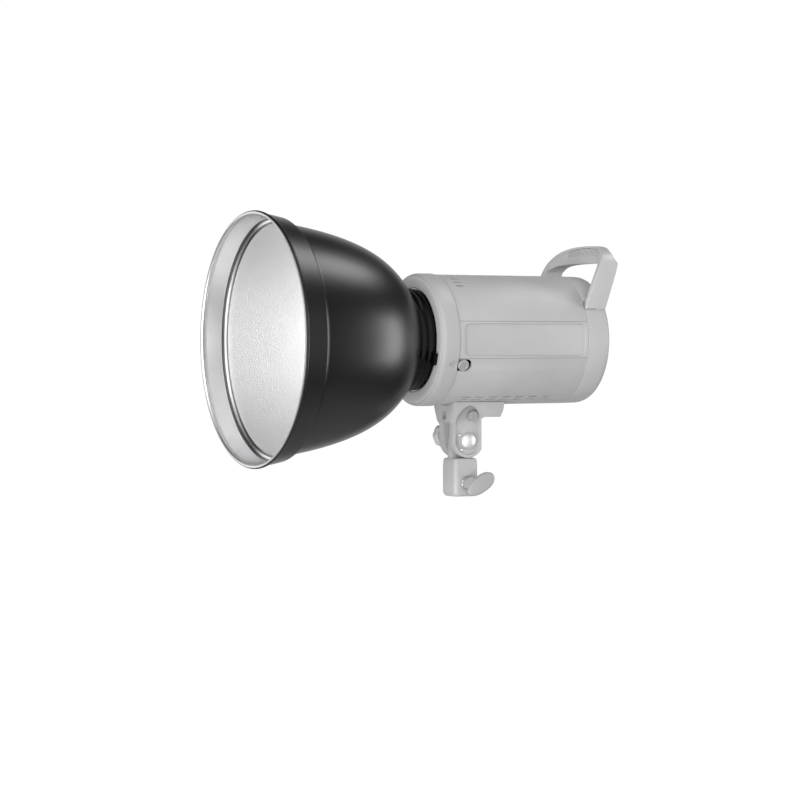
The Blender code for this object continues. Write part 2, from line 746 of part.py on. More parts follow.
def panel_fittings(materials, holder):
    """Display, mains inlet with its pins, fuse, sync socket and slave eye."""
    window = rectangle(*DISPLAY)
    piece("display_window", prism(window, 0.1768, 0.1795, STROBE_AXIS, "Y"), materials["glass"], holder)
    module = rectangle(DISPLAY[0] - 0.002, DISPLAY[1] + 0.002, DISPLAY[2] - 0.002, DISPLAY[3] + 0.002)
    piece("display_module", prism(module, 0.1700, 0.1756, STROBE_AXIS, "Y"), materials["screen"], holder)

    corners = rounded_rectangle(-INLET_HALF[0], INLET_HALF[0], -INLET_HALF[1], INLET_HALF[1], 0.0020, 2)
    recess = [(-0.0120, -0.0082), (0.0120, -0.0082), (0.0120, 0.0040)]
    recess += [(0.0078, 0.0082), (-0.0078, 0.0082), (-0.0120, 0.0040)]
    seats = []
    pins = {
        "inlet_pin_left": (0.0070, 0.0),
        "inlet_pin_right": (-0.0070, 0.0),
        "inlet_pin_earth": (0.0, 0.0035),
    }
    for across, up in pins.values():
        slot = rectangle(across - 0.0013, across + 0.0013, up - 0.0023, up + 0.0023)
        seats.append(prism(slot, 0.1645, 0.1700, panel_point(INLET), "Y"))
    piece(
        "power_inlet",
        prism(corners, 0.1630, 0.1812, panel_point(INLET), "Y"),
        materials["black_plastic"],
        holder,
        cuts=[prism(recess, 0.1675, 0.1840, panel_point(INLET), "Y")] + seats,
    )
    for name, (across, up) in pins.items():
        blade = rectangle(across - 0.0010, across + 0.0010, up - 0.0020, up + 0.0020)
        piece(name, prism(blade, 0.1648, 0.1785, panel_point(INLET), "Y"), materials["brass"], holder)

    fuse = [(0.1650, 0), (0.1650, 0.0055), (0.1793, 0.0055), (0.1793, 0.0066), (0.1840, 0.0062), (0.1840, 0)]
    piece("fuse_cap", turned(fuse, panel_point(FUSE), "Y", SMALL_ROUND), materials["black_plastic"], holder)
    jack = [(0.1700, 0), (0.1700, 0.0045), (0.1812, 0.0045), (0.1812, 0.0018), (0.1730, 0.0018), (0.1730, 0)]
    piece("sync_jack", turned(jack, panel_point(SYNC), "Y", SMALL_ROUND), materials["steel"], holder)
    dome = [(0.1740, 0), (0.1740, 0.0050), (0.1805, 0.0050), (0.1835, 0.0042), (0.1855, 0.0024), (0.1862, 0)]
    piece("slave_sensor", turned(dome, panel_point(SENSOR), "Y", SMALL_ROUND), materials["red_lens"], holder)


def control_dial(material, holder):
    """Round dial with its shaft through the rear panel."""
    outline = [
        (0.1700, 0),
        (0.1700, 0.0030),
        (0.1794, 0.0030),
        (0.1794, DIAL_RADIUS),
        (0.1885, DIAL_RADIUS - 0.0006),
        (0.1898, DIAL_RADIUS - 0.0022),
        (0.1898, 0),
    ]
    piece("control_dial", turned(outline, panel_point(DIAL), "Y", 24), material, holder)


def push_button(name, place, material, holder):
    """Push key with a flange behind the rear panel."""
    key = prism(widened(BUTTON_HALF, 0), 0.1745, 0.1812, panel_point(place), "Y")
    flange = prism(widened(BUTTON_HALF, 0.0010), 0.1730, 0.1756, panel_point(place), "Y")
    piece(name, key, material, holder, adds=[flange])


def power_rocker(material, holder):
    """Rocker with a shallow V face, at rest with its lower end pressed in."""
    tilt = math.radians(7)
    half = ROCKER_HALF[1]
    side = [(-0.0035, -0.0030), (-0.0035, 0.0030), (0.0005, half), (0.0068, half - 0.0004)]
    side += [(0.0050, 0.0), (0.0068, -half + 0.0004), (0.0005, -half)]
    pivot = panel_point(ROCKER, ROCKER_PIVOT_BACK)
    turned_side = []
    for back, up in side:
        moved_back = back * math.cos(tilt) - up * math.sin(tilt)
        moved_up = back * math.sin(tilt) + up * math.cos(tilt)
        turned_side.append((moved_back, moved_up))
    rocker = prism(turned_side, -ROCKER_HALF[0], ROCKER_HALF[0], pivot, "X")
    piece("power_rocker", rocker, material, holder)


# --- Inside the casing -------------------------------------------------------------------------

def fan(frame_material, rotor_material, holder, rotor_holder):
    """Cooling fan: a square frame and its rotor."""
    half = 0.0310
    outline = rounded_rectangle(-half, half, -half, half, 0.005, 2)
    frame = prism(outline, FAN_FRONT, FAN_REAR, STROBE_AXIS, "Y")
    struts = [rod(0.0150, 0.0444, 0.0478, STROBE_AXIS, "Y", 20)]
    for number in range(3):
        strut = prism(rectangle(0.0448, 0.0476, -0.0020, 0.0020), 0.0140, 0.0290, STROBE_AXIS, "X")
        struts.append(spun_about_axis(strut, 2 * math.pi * number / 3))
    bore = rod(FAN_BORE, FAN_FRONT - 0.001, FAN_REAR + 0.001, STROBE_AXIS, "Y", 32)
    shell = as_object("fan_shell", frame)
    combine(shell, bore, "DIFFERENCE")
    hollow = bmesh.new()
    hollow.from_mesh(shell.data)
    bpy.data.objects.remove(shell)
    piece("fan_frame", hollow, frame_material, holder, adds=struts)

    blades = []
    for number in range(BLADE_COUNT):
        blade = prism([(0.0350, -0.0045), (0.0362, -0.0045), (0.0436, 0.0045), (0.0424, 0.0045)],
                      0.0120, 0.0272, STROBE_AXIS, "X")
        blades.append(spun_about_axis(blade, 2 * math.pi * number / BLADE_COUNT))
    hub = rod(0.0140, 0.0345, 0.0440, STROBE_AXIS, "Y", 20)
    piece("fan_rotor", hub, rotor_material, rotor_holder, adds=blades)


def electronics(materials, holder):
    """Chassis plate with what stands on it."""
    chassis = prism(rectangle(-0.0440, 0.0440, -0.0305, -0.0290), 0.0560, 0.1600, STROBE_AXIS, "Y")
    piece("chassis_plate", chassis, materials["steel"], holder)
    board = prism(rectangle(-0.0420, 0.0420, 0.0120, 0.0136), 0.0560, 0.1600, STROBE_AXIS, "Y")
    piece("circuit_board", board, materials["board"], holder)
    for name, across in (("capacitor_left", 0.0190), ("capacitor_right", -0.0190)):
        can = rod(0.0170, 0.0600, 0.1200, (across, FRONT_Y, AXIS_Z - 0.0114), "Y", 20)
        piece(name, can, materials["capacitor"], holder)
    core = prism(rectangle(-0.0180, 0.0180, -0.0286, -0.0040), 0.1260, 0.1560, STROBE_AXIS, "Y")
    piece("transformer", core, materials["steel"], holder)


# --- Tilting bracket ---------------------------------------------------------------------------

def ear_outline(inset, top, steps=12):
    """Side view of an ear: straight sides and a round bottom about the tilt axis."""
    radius = EAR_FRONT - inset
    rear = EAR_REAR - inset
    start = math.acos(rear / radius)
    points = [(rear, top), (-radius, top)]
    for step in range(steps + 1):
        angle = math.pi + (math.pi - start) * step / steps
        points.append((radius * math.cos(angle), radius * math.sin(angle)))
    return points


def bracket_head(material, holder):
    """Block under the casing, with the two ears of the tilt hinge."""
    block_side = [
        (HEAD_FRONT, 0.0745),
        (HEAD_FRONT, 0.0980),
        (HEAD_REAR, 0.0980),
        (HEAD_REAR, 0.0840),
        (HEAD_REAR - 0.0015, HEAD_BOTTOM),
        (0.0185, HEAD_BOTTOM),
        (TILT_Y + EAR_REAR - 0.0010, 0.0760),
        (TILT_Y + EAR_REAR - 0.0010, 0.0690),
        (TILT_Y - EAR_FRONT + 0.0010, 0.0690),
    ]
    block = prism(block_side, -HEAD_HALF_WIDTH, HEAD_HALF_WIDTH, (0, 0, 0), "X")
    front_view = [
        (-HEAD_HALF_WIDTH, 0.1000),
        (-HEAD_HALF_WIDTH, 0.0885),
        (-EAR_OUT + 0.0004, 0.0740),
        (-EAR_OUT + 0.0004, 0.0600),
        (EAR_OUT - 0.0004, 0.0600),
        (EAR_OUT - 0.0004, 0.0740),
        (HEAD_HALF_WIDTH, 0.0885),
        (HEAD_HALF_WIDTH, 0.1000),
    ]
    taper = prism(front_view, -0.0300, 0.0600, (0, 0, 0), "Y")
    tilt_axis = (0, TILT_Y, TILT_Z)
    ears = prism(ear_outline(0.0, HEAD_BOTTOM + 0.004 - TILT_Z), -EAR_OUT, EAR_OUT, tilt_axis, "X")
    saddle = rod(CASE_RADIUS_FRONT + GAP, -0.01, 0.20, STROBE_AXIS, "Y", 96)
    mouth = prism(rectangle(-0.030, 0.030, -0.030, 0.0185), -EAR_IN, EAR_IN, tilt_axis, "X")
    umbrella = rod(UMBRELLA_BORE, -0.040, 0.060, (0, 0, UMBRELLA_Z), "Y")
    bolt = rod(BOLT_BORE, -0.030, 0.030, tilt_axis, "X")
    screw = rod(0.0028, 0.0, 0.030, (0, UMBRELLA_SCREW_Y, UMBRELLA_Z), "X")
    pocket_outline = ear_outline(EAR_RIM, 0.0160)
    for step in range(1, 8):
        angle = math.pi * step / 8
        middle = (EAR_REAR - EAR_FRONT) / 2
        reach = (EAR_REAR + EAR_FRONT) / 2 - EAR_RIM
        pocket_outline.insert(step, (middle + reach * math.cos(angle), 0.0160 + 0.0190 * math.sin(angle)))
    pockets = []
    for side in (-1, 1):
        ends = sorted((side * EAR_FLOOR, side * 0.030))
        pockets.append(prism(pocket_outline, ends[0], ends[1], tilt_axis, "X"))
    pin_holes = []
    for place in STOP_PINS.values():
        pin_holes.append(rod(0.0018, 0.0080, 0.0150, (0, *place), "X", 10))
    head = as_object("head", block)
    combine(head, taper, "INTERSECT")
    shape = bmesh.new()
    shape.from_mesh(head.data)
    bpy.data.objects.remove(head)
    piece(
        "bracket_head",
        shape,
        material,
        holder,
        adds=[ears],
        cuts=[saddle, mouth, umbrella, bolt, screw] + pockets + pin_holes,
    )


def tilt_hardware(materials, holder):
    """Bolt, friction discs and stop pins of the tilt hinge."""
    tilt_axis = (0, TILT_Y, TILT_Z)
    dome = [
        (-0.0330, 0),
        (-0.0330, BOLT_RADIUS),
        (EAR_FLOOR + GAP, BOLT_RADIUS),
        (EAR_FLOOR + GAP, 0.0080),
        (EAR_FLOOR + 0.0018, 0.0080),
        (EAR_FLOOR + 0.0042, 0.0062),
        (EAR_FLOOR + 0.0056, 0.0034),
        (EAR_FLOOR + 0.0060, 0),
    ]
    piece("tilt_bolt", turned(dome, tilt_axis, "X", 20), materials["chrome"], holder)
    for name, low in (("friction_disc_left", 0.0048), ("friction_disc_right", -0.0062)):
        disc = [(low, BOLT_BORE), (low, 0.0115), (low + 0.0014, 0.0115), (low + 0.0014, BOLT_BORE)]
        piece(name, turned(disc, tilt_axis, "X", 24), materials["brass"], holder)
    for name, place in STOP_PINS.items():
        piece(name, rod(0.0015, 0.0085, 0.0140, (0, *place), "X", 10), materials["steel"], holder)


def tilt_knob(material, holder):
    """Scalloped knob set off the axis for leverage, with a domed end; its skirt reaches the ear."""
    scallops = 8
    steps = 48
    profile = [(-0.0425, 0.0070), (-0.0405, 0.0102), (-0.0370, 0.0121), (-0.0298, 0.0121), (-0.0290, 0.0113)]
    sections = []
    for distance, radius in profile:
        outline = []
        for step in range(steps):
            angle = 2 * math.pi * step / steps
            reach = radius + 0.0004 * math.cos(scallops * angle)
            outline.append((reach * math.cos(angle), KNOB_RISE + reach * math.sin(angle)))
        sections.append((distance, outline))
    tilt_axis = (0, TILT_Y, TILT_Z)
    skirt = rod(0.0078, -0.0300, -EAR_FLOOR - GAP, tilt_axis, "X", 20)
    bore = rod(BOLT_BORE, -0.0335, 0.0, tilt_axis, "X")
    piece("tilt_knob", lofted(sections, tilt_axis, "X"), material, holder, adds=[skirt], cuts=[bore])


def umbrella_screw(material, holder):
    """Clamp screw that reaches into the umbrella hole."""
    outline = [
        (UMBRELLA_BORE + 0.0004, 0),
        (UMBRELLA_BORE + 0.0004, 0.0025),
        (EAR_FLOOR + GAP, 0.0025),
        (EAR_FLOOR + GAP, 0.0046),
        (0.0198, 0.0046),
        (0.0204, 0.0038),
        (0.0204, 0),
    ]
    place = (0, UMBRELLA_SCREW_Y, UMBRELLA_Z)
    piece("umbrella_screw", turned(outline, place, "X", SMALL_ROUND), material, holder)


# --- Stand socket ------------------------------------------------------------------------------

def stand_adapter(material, holder):
    """Square column with the stand socket below and a tongue between the ears above."""
    column_sections = []
    for height, inset in ((0.0, 0.0026), (0.0010, 0.0014), (0.0030, 0.0004), (0.0060, 0.0), (0.0300, 0.0),
                          (0.0360, 0.0005), (COLUMN_TOP, 0.0014)):
        half_x = COLUMN_HALF_X - inset
        half_y = COLUMN_HALF_Y - inset
        outline = rounded_rectangle(-half_x, half_x, -half_y, half_y, 0.0045, 3)
        column_sections.append((height, outline))
    column = lofted(column_sections, (0, 0, 0), "Z")
    tongue_outline = []
    for step in range(13):
        angle = math.pi * step / 12
        tongue_outline.append((TONGUE_RADIUS * math.cos(angle), TONGUE_RADIUS * math.sin(angle)))
    foot = COLUMN_TOP - TILT_Z - 0.0010
    tongue_outline += [(-TONGUE_RADIUS, foot), (COLUMN_HALF_Y - TILT_Y - 0.0016, foot)]
    tongue = prism(tongue_outline, -TONGUE_HALF, TONGUE_HALF, (0, TILT_Y, TILT_Z), "X")
    bolt = rod(BOLT_BORE, -0.030, 0.030, (0, TILT_Y, TILT_Z), "X")
    bore = rod(SOCKET_BORE, -0.010, SOCKET_DEPTH, (0, 0, 0), "Z", 24)
    screw = rod(0.0033, 0.0, 0.030, (0, 0, LEVER_Z), "X")
    piece("stand_adapter", column, material, holder, adds=[tongue], cuts=[bolt, bore, screw])


def leaf_shape(steps=24):
    """Side view of the lever: a leaf that leans up towards the back of the strobe."""
    outline = []
    for step in range(steps):
        angle = 2 * math.pi * step / steps
        along = LEAF_HALF_LENGTH * math.copysign(abs(math.cos(angle)) ** 0.86, math.cos(angle))
        across = LEAF_HALF_WIDTH * math.sin(angle) * (1 + 0.10 * math.cos(angle))
        back = LEAF_MIDDLE[0] + along * math.cos(LEAF_LEAN) - across * math.sin(LEAF_LEAN)
        up = LEAF_MIDDLE[1] + along * math.sin(LEAF_LEAN) + across * math.cos(LEAF_LEAN)
        outline.append((back, up))
    return outline


def stand_lever(plastic, metal, holder):
    """Locking screw, its bright collar, and the leaf-shaped lever that turns them."""
    place = (0, 0, LEVER_Z)
    face = COLUMN_HALF_X
    screw = [(0.0084, 0), (0.0084, 0.0030), (face + 0.0060, 0.0030), (face + 0.0060, 0)]
    piece("stand_lock_screw", turned(screw, place, "X", SMALL_ROUND), metal, holder)
    collar = [
        (face + GAP, 0.0034),
        (face + GAP, 0.0068),
        (face + 0.0026, 0.0068),
        (face + 0.0026, 0.0034),
    ]
    piece("stand_lock_collar", turned(collar, place, "X", SMALL_ROUND), metal, holder)
    hub = rod(0.0062, face + 0.0029, face + 0.0105, place, "X", 20)
    leaf = prism(leaf_shape(), face + 0.0080, face + 0.0142, place, "X")
    seat = rod(0.0033, 0.0, face + 0.0063, place, "X")
    piece("stand_lock_lever", hub, plastic, holder, adds=[leaf], cuts=[seat])


# --- The whole strobe --------------------------------------------------------------------------

def make_materials():
    """Stand-in materials, by what each is."""
    grey = (0.36, 0.36, 0.37)
    return {
        "shell": make_material("shell_plastic", grey, 0.5),
        "handle": make_material("handle_plastic", (0.46, 0.46, 0.47), 0.45),
        "rubber": make_material("grip_rubber", (0.05, 0.05, 0.05), 0.8),
        "bracket": make_material("bracket_alloy", (0.32, 0.32, 0.33), 0.45, 0.3),
        "reflector": make_material("reflector_black", (0.02, 0.02, 0.02), 0.35),
        "ring": make_material("bayonet_black", (0.02, 0.02, 0.02), 0.4),
        "socket": make_material("bayonet_steel", (0.5, 0.5, 0.5), 0.3, 1.0),
        "ceramic": make_material("lamp_ceramic", (0.8, 0.8, 0.77), 0.5),
        "glass": make_material("clear_glass", (0.8, 0.85, 0.85), 0.05),
        "bulb": make_material("bulb_glass", (0.9, 0.88, 0.8), 0.2),
        "screen": make_material("screen", (0.03, 0.05, 0.06), 0.2),
        "black_plastic": make_material("black_plastic", (0.03, 0.03, 0.03), 0.4),
        "red_lens": make_material("red_lens", (0.4, 0.02, 0.02), 0.1),
        "brass": make_material("brass", (0.65, 0.5, 0.2), 0.3, 1.0),
        "steel": make_material("steel", (0.6, 0.6, 0.6), 0.35, 1.0),
        "chrome": make_material("chrome", (0.85, 0.85, 0.85), 0.08, 1.0),
        "board": make_material("board_green", (0.03, 0.2, 0.08), 0.5),
        "capacitor": make_material("capacitor_sleeve", (0.05, 0.06, 0.12), 0.4),
    }


def build():
    """Whole part: the holders on their joint axes, then every node."""
    for obj in list(bpy.data.objects):
        bpy.data.objects.remove(obj)
    materials = make_materials()

    stand = body("stand", (0, 0, 0))
    strobe = body("strobe", (0, TILT_Y, TILT_Z))
    reflector = body("reflector", STROBE_AXIS)
    catch = body("catch", panel_point((0, 0), BUTTON_BACK))
    knob = body("tilt_knob_axis", (0, TILT_Y, TILT_Z))
    umbrella = body("umbrella_screw_axis", (0, UMBRELLA_SCREW_Y, UMBRELLA_Z))
    lever = body("stand_lever_axis", (0, 0, LEVER_Z))
    rotor = body("fan_axis", STROBE_AXIS)
    dial = body("dial_axis", panel_point(DIAL))
    rocker = body("rocker_axis", panel_point(ROCKER, ROCKER_PIVOT_BACK))

    reflector_bowl(materials["reflector"], reflector)
    bayonet_ring(materials["ring"], reflector)
    front_bumper(materials["shell"], strobe)
    bayonet_socket(materials["socket"], strobe)
    lock_slide(materials["black_plastic"], materials["steel"], catch)
    lamp_parts(materials, strobe)
    casing(materials["shell"], strobe)
    handle(materials["handle"], materials["rubber"], strobe)
    rear_ring(materials["shell"], strobe)
    rear_panel(materials["shell"], strobe)
    panel_fittings(materials, strobe)
    control_dial(materials["black_plastic"], dial)
    for name, place in BUTTONS.items():
        key_axis = body(name + "_axis", panel_point(place, PANEL_REAR))
        push_button(name, place, materials["black_plastic"], key_axis)
    power_rocker(materials["black_plastic"], rocker)
    fan(materials["black_plastic"], materials["black_plastic"], strobe, rotor)
    electronics(materials, strobe)
    bracket_head(materials["bracket"], strobe)
    tilt_hardware(materials, strobe)
    tilt_knob(materials["black_plastic"], knob)
    umbrella_screw(materials["steel"], umbrella)
    stand_adapter(materials["bracket"], stand)
    stand_lever(materials["black_plastic"], materials["steel"], lever)


build()
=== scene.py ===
"""Looks of the monolight strobe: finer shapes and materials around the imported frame. Metres, +Z up."""

from math import acos, copysign, cos, pi, radians, sin, tan

import bmesh
import bpy
from mathutils import Matrix, Vector


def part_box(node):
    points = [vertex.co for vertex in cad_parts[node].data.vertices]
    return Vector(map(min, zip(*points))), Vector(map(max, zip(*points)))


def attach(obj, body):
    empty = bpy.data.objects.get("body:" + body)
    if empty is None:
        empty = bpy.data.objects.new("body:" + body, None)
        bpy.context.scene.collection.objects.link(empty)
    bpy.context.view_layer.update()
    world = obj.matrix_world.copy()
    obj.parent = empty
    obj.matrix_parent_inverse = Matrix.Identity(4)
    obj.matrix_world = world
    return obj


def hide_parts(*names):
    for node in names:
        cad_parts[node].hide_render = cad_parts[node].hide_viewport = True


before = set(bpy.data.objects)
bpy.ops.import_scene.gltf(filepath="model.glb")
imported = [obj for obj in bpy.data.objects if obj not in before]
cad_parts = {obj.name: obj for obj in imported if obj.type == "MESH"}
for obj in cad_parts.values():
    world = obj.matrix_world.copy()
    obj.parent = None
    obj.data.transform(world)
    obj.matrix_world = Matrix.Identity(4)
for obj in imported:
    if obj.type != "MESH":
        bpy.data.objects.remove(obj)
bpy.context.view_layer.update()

# --- Measures taken from the frame ---

BUMPER_LOW, BUMPER_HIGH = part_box("front_bumper")
FRONT_Y = BUMPER_LOW.y
AXIS_Z = (BUMPER_LOW.z + BUMPER_HIGH.z) / 2
BUMPER_RADIUS = BUMPER_HIGH.x
BUMPER_DEPTH = BUMPER_HIGH.y - FRONT_Y
MOUTH_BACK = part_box("reflector_bowl")[0].y - FRONT_Y
MOUTH_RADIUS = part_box("reflector_bowl")[1].x
NECK_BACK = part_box("reflector_bowl")[1].y - FRONT_Y
CASE_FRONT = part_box("upper_shell")[0].y - FRONT_Y
CASE_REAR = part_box("upper_shell")[1].y - FRONT_Y
RING_REAR = 0.188
GAP = 0.0003
STROBE_AXIS = (0.0, FRONT_Y, AXIS_Z)
CAMERA_TURN = radians(27)        # how far the camera stands forward of square to the strobe
CAMERA_SIDE = Vector((cos(CAMERA_TURN), -sin(CAMERA_TURN), 0))

FINE = 192              # sides of the large turned pieces
MEDIUM = 64             # sides of knobs and bolts

AXES = {
    "X": (Vector((1, 0, 0)), Vector((0, 1, 0)), Vector((0, 0, 1))),
    "Y": (Vector((0, 1, 0)), Vector((1, 0, 0)), Vector((0, 0, 1))),
    "Z": (Vector((0, 0, 1)), Vector((1, 0, 0)), Vector((0, 1, 0))),
}


# --- Shape helpers ---

def join_rings(bm, first, second, material=0):
    """Faces between two rings of points; a ring of one point is a tip on the axis."""
    count = max(len(first), len(second))
    if count == 1:
        return
    for step in range(count):
        after = (step + 1) % count
        corners = [first[step % len(first)], first[after % len(first)]]
        corners += [second[after % len(second)], second[step % len(second)]]
        face = bm.faces.new(list(dict.fromkeys(corners)))
        face.material_index = material


def turned(outline, centre=STROBE_AXIS, axis="Y", steps=FINE, kinds=None):
    """Solid of revolution. The outline holds its (distance along the axis, radius) corners."""
    along, side, up = AXES[axis]
    bm = bmesh.new()
    rings = []
    for distance, radius in outline:
        middle = Vector(centre) + along * distance
        ring = []
        for angle in full_turn(steps) if radius > 0 else [0.0]:
            offset = side * (radius * cos(angle)) + up * (radius * sin(angle))
            ring.append(bm.verts.new(middle + offset))
        rings.append(ring)
    for number, (first, second) in enumerate(zip(rings, rings[1:] + rings[:1])):
        join_rings(bm, first, second, kinds[number] if kinds else 0)
    bmesh.ops.recalc_face_normals(bm, faces=bm.faces)
    return bm


def closed(bm, rings):
    """Solid through rings of points, with its two ends capped."""
    for first, second in zip(rings, rings[1:]):
        join_rings(bm, first, second)
    bm.faces.new(rings[0])
    bm.faces.new(rings[-1])
    bmesh.ops.recalc_face_normals(bm, faces=bm.faces)
    return bm


def lofted(sections, centre=STROBE_AXIS, axis="Y"):
    """Solid through flat sections. Each section is (distance along the axis, outline)."""
    along, side, up = AXES[axis]
    bm = bmesh.new()
    rings = []
    for distance, outline in sections:
        middle = Vector(centre) + along * distance
        rings.append([bm.verts.new(middle + side * a + up * b) for a, b in outline])
    return closed(bm, rings)


def prism(outline, low, high, centre=STROBE_AXIS, axis="Y"):
    """Outline drawn out along an axis, between two heights."""
    return lofted([(low, outline), (high, outline)], centre, axis)


def full_turn(steps):
    """Evenly spaced angles once round."""
    return [2 * pi * step / steps for step in range(steps)]


def rod(radius, low, high, centre=STROBE_AXIS, axis="Y", steps=MEDIUM):
    """Round bar along an axis."""
    circle = [(radius * cos(angle), radius * sin(angle)) for angle in full_turn(steps)]
    return prism(circle, low, high, centre, axis)


def rectangle(left, right, bottom, top):
    """Four corners, in turn."""
    return [(left, bottom), (right, bottom), (right, top), (left, top)]


def grown(edges, extra):
    """Edges of a rectangle (left, right, bottom, top), each moved outward."""
    left, right, bottom, top = edges
    return left - extra, right + extra, bottom - extra, top + extra


def rounded_rectangle(left, right, bottom, top, radius, steps=8):
    """Rectangle with round corners."""
    corners = [
        (right - radius, top - radius, 0),
        (left + radius, top - radius, 1),
        (left + radius, bottom + radius, 2),
        (right - radius, bottom + radius, 3),
    ]
    points = []
    for a, b, quarter in corners:
        for step in range(steps + 1):
            angle = pi / 2 * (quarter + step / steps)
            points.append((a + radius * cos(angle), b + radius * sin(angle)))
    return points


def arc_band(inner, outer, start, end, steps):
    """Outline of a curved strip between two radii and two angles."""
    angles = [start + (end - start) * step / steps for step in range(steps + 1)]
    points = [(outer * cos(angle), outer * sin(angle)) for angle in angles]
    points += [(inner * cos(angle), inner * sin(angle)) for angle in reversed(angles)]
    return points


def arc_points(centre, radius, start, end, steps):
    """Points on an arc of a turned outline; angles in degrees, 0 along the axis, 90 outward."""
    points = []
    for step in range(steps + 1):
        angle = radians(start + (end - start) * step / steps)
        points.append((centre[0] + radius * cos(angle), centre[1] + radius * sin(angle)))
    return points


def spun(bm, centre, angle):
    """Turns a shape about an axis along Y through the centre."""
    place = Vector(centre)
    turn = Matrix.Translation(place) @ Matrix.Rotation(angle, 4, "Y") @ Matrix.Translation(-place)
    bmesh.ops.transform(bm, matrix=turn, verts=bm.verts)
    return bm


def spun_about_axis(bm, angle):
    """Turns a shape about the strobe's optical axis, from +X towards +Z."""
    return spun(bm, STROBE_AXIS, -angle)


def as_object(name, bm):
    """Shape being built, turned into an object of the scene."""
    mesh = bpy.data.meshes.new(name)
    bm.to_mesh(mesh)
    bm.free()
    obj = bpy.data.objects.new(name, mesh)
    bpy.context.scene.collection.objects.link(obj)
    return obj


def applied(obj):
    """Turns an object's modifiers into its mesh."""
    evaluated = obj.evaluated_get(bpy.context.evaluated_depsgraph_get())
    mesh = bpy.data.meshes.new_from_object(evaluated)
    obj.modifiers.clear()
    obj.data = mesh
    return obj


def combine(target, shape, operation):
    """Adds a shape to an object, or takes it away, for good."""
    tool = as_object("tool", shape)
    modifier = target.modifiers.new("combine", "BOOLEAN")
    modifier.solver = "EXACT"
    modifier.operation = operation
    modifier.object = tool
    applied(target)
    bpy.data.objects.remove(tool)


def shape_of(obj):
    """An object's mesh as a loose shape, and the object itself gone."""
    bm = bmesh.new()
    bm.from_mesh(obj.data)
    bpy.data.objects.remove(obj)
    return bm


def merged(shapes):
    """Several shapes that don't touch, as one."""
    whole = bmesh.new()
    for shape in shapes:
        mesh = bpy.data.meshes.new("part")
        shape.to_mesh(mesh)
        shape.free()
        whole.from_mesh(mesh)
        bpy.data.meshes.remove(mesh)
    return whole


def swept(path, radius, sides):
    """Round bar along a path of points."""
    bm = bmesh.new()
    rings = []
    for number, point in enumerate(path):
        before = path[max(number - 1, 0)]
        after = path[min(number + 1, len(path) - 1)]
        run = (after - before).normalized()
        guide = Vector((0, 1, 0)) if abs(run.y) < 0.9 else Vector((1, 0, 0))
        side = run.cross(guide).normalized()
        up = side.cross(run)
        ring = []
        for angle in full_turn(sides):
            ring.append(bm.verts.new(point + (side * cos(angle) + up * sin(angle)) * radius))
        rings.append(ring)
    return closed(bm, rings)


def piece(name, bm, finish, node=None, body="strobe", adds=(), cuts=(), bevel=0.0,
          bevel_steps=3, sharp=35):
    """One finished piece: shaped, rounded, painted and set on its body."""
    obj = as_object(name, bm)
    for shape in adds:
        combine(obj, shape, "UNION")
    for shape in cuts:
        combine(obj, shape, "DIFFERENCE")
    finishes = [finish] if isinstance(finish, str) else finish
    kinds = [min(face.material_index, len(finishes) - 1) for face in obj.data.polygons]
    obj.data.materials.clear()
    for key in finishes:
        obj.data.materials.append(MATERIALS[key])
    obj.data.polygons.foreach_set("material_index", kinds)
    if bevel:
        modifier = obj.modifiers.new("edges", "BEVEL")
        modifier.width = bevel
        modifier.segments = bevel_steps
        modifier.limit_method = "ANGLE"
        modifier.angle_limit = radians(28)
        modifier.use_clamp_overlap = True
        applied(obj)
    obj.data.shade_smooth()
    obj.data.set_sharp_from_angle(angle=radians(sharp))
    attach(obj, body)
    if node:
        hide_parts(node)


# --- Materials ---

def add(tree, kind, **inputs):
    """New node of a material, with its inputs set to values or linked to other nodes."""
    node = tree.nodes.new("ShaderNode" + kind)
    fill(tree, node, **inputs)
    return node


def fill(tree, node, **inputs):
    """Sets or links the inputs of a node; _ in a name stands for a space."""
    for name, value in inputs.items():
        socket = node.inputs[name.replace("_", " ")]
        if isinstance(value, bpy.types.NodeSocket):
            tree.links.new(value, socket)
        else:
            socket.default_value = value


def new_material(name, colour, roughness, metallic=0.0):
    """Material with its node tree and its shader."""
    material = bpy.data.materials.new(name)
    material.use_nodes = True
    tree = material.node_tree
    shader = tree.nodes["Principled BSDF"]
    fill(tree, shader, Base_Color=(*colour, 1.0), Roughness=roughness, Metallic=metallic)
    return material, tree, shader


def noise(tree, scale, detail, stretch=(1, 1, 1)):
    """Cloudy pattern fixed to the object."""
    place = add(tree, "TexCoord").outputs["Object"]
    mapped = add(tree, "Mapping", Vector=place, Scale=stretch).outputs["Vector"]
    return add(tree, "TexNoise", Vector=mapped, Scale=scale, Detail=detail, Roughness=0.55).outputs["Fac"]


def spread(tree, value, low_out, high_out, low=0.3, high=0.7):
    """Maps a pattern's value to a range."""
    ends = {"From_Min": low, "From_Max": high, "To_Min": low_out, "To_Max": high_out}
    return add(tree, "MapRange", Value=value, **ends).outputs["Result"]


def two_colours(tree, value, first, second):
    """Colour that follows a pattern between two ends."""
    node = add(tree, "ValToRGB", Fac=value)
    for element, place, colour in zip(node.color_ramp.elements, (0.3, 0.7), (first, second)):
        element.position = place
        element.color = (*colour, 1.0)
    return node.outputs["Color"]


def bump(tree, height, strength, distance):
    """Fine relief, as the normal for a shader."""
    return add(tree, "Bump", Height=height, Strength=strength, Distance=distance).outputs["Normal"]


def shaded(colour, factor):
    """Lighter or darker version of a colour."""
    return tuple(min(1.0, channel * factor) for channel in colour)


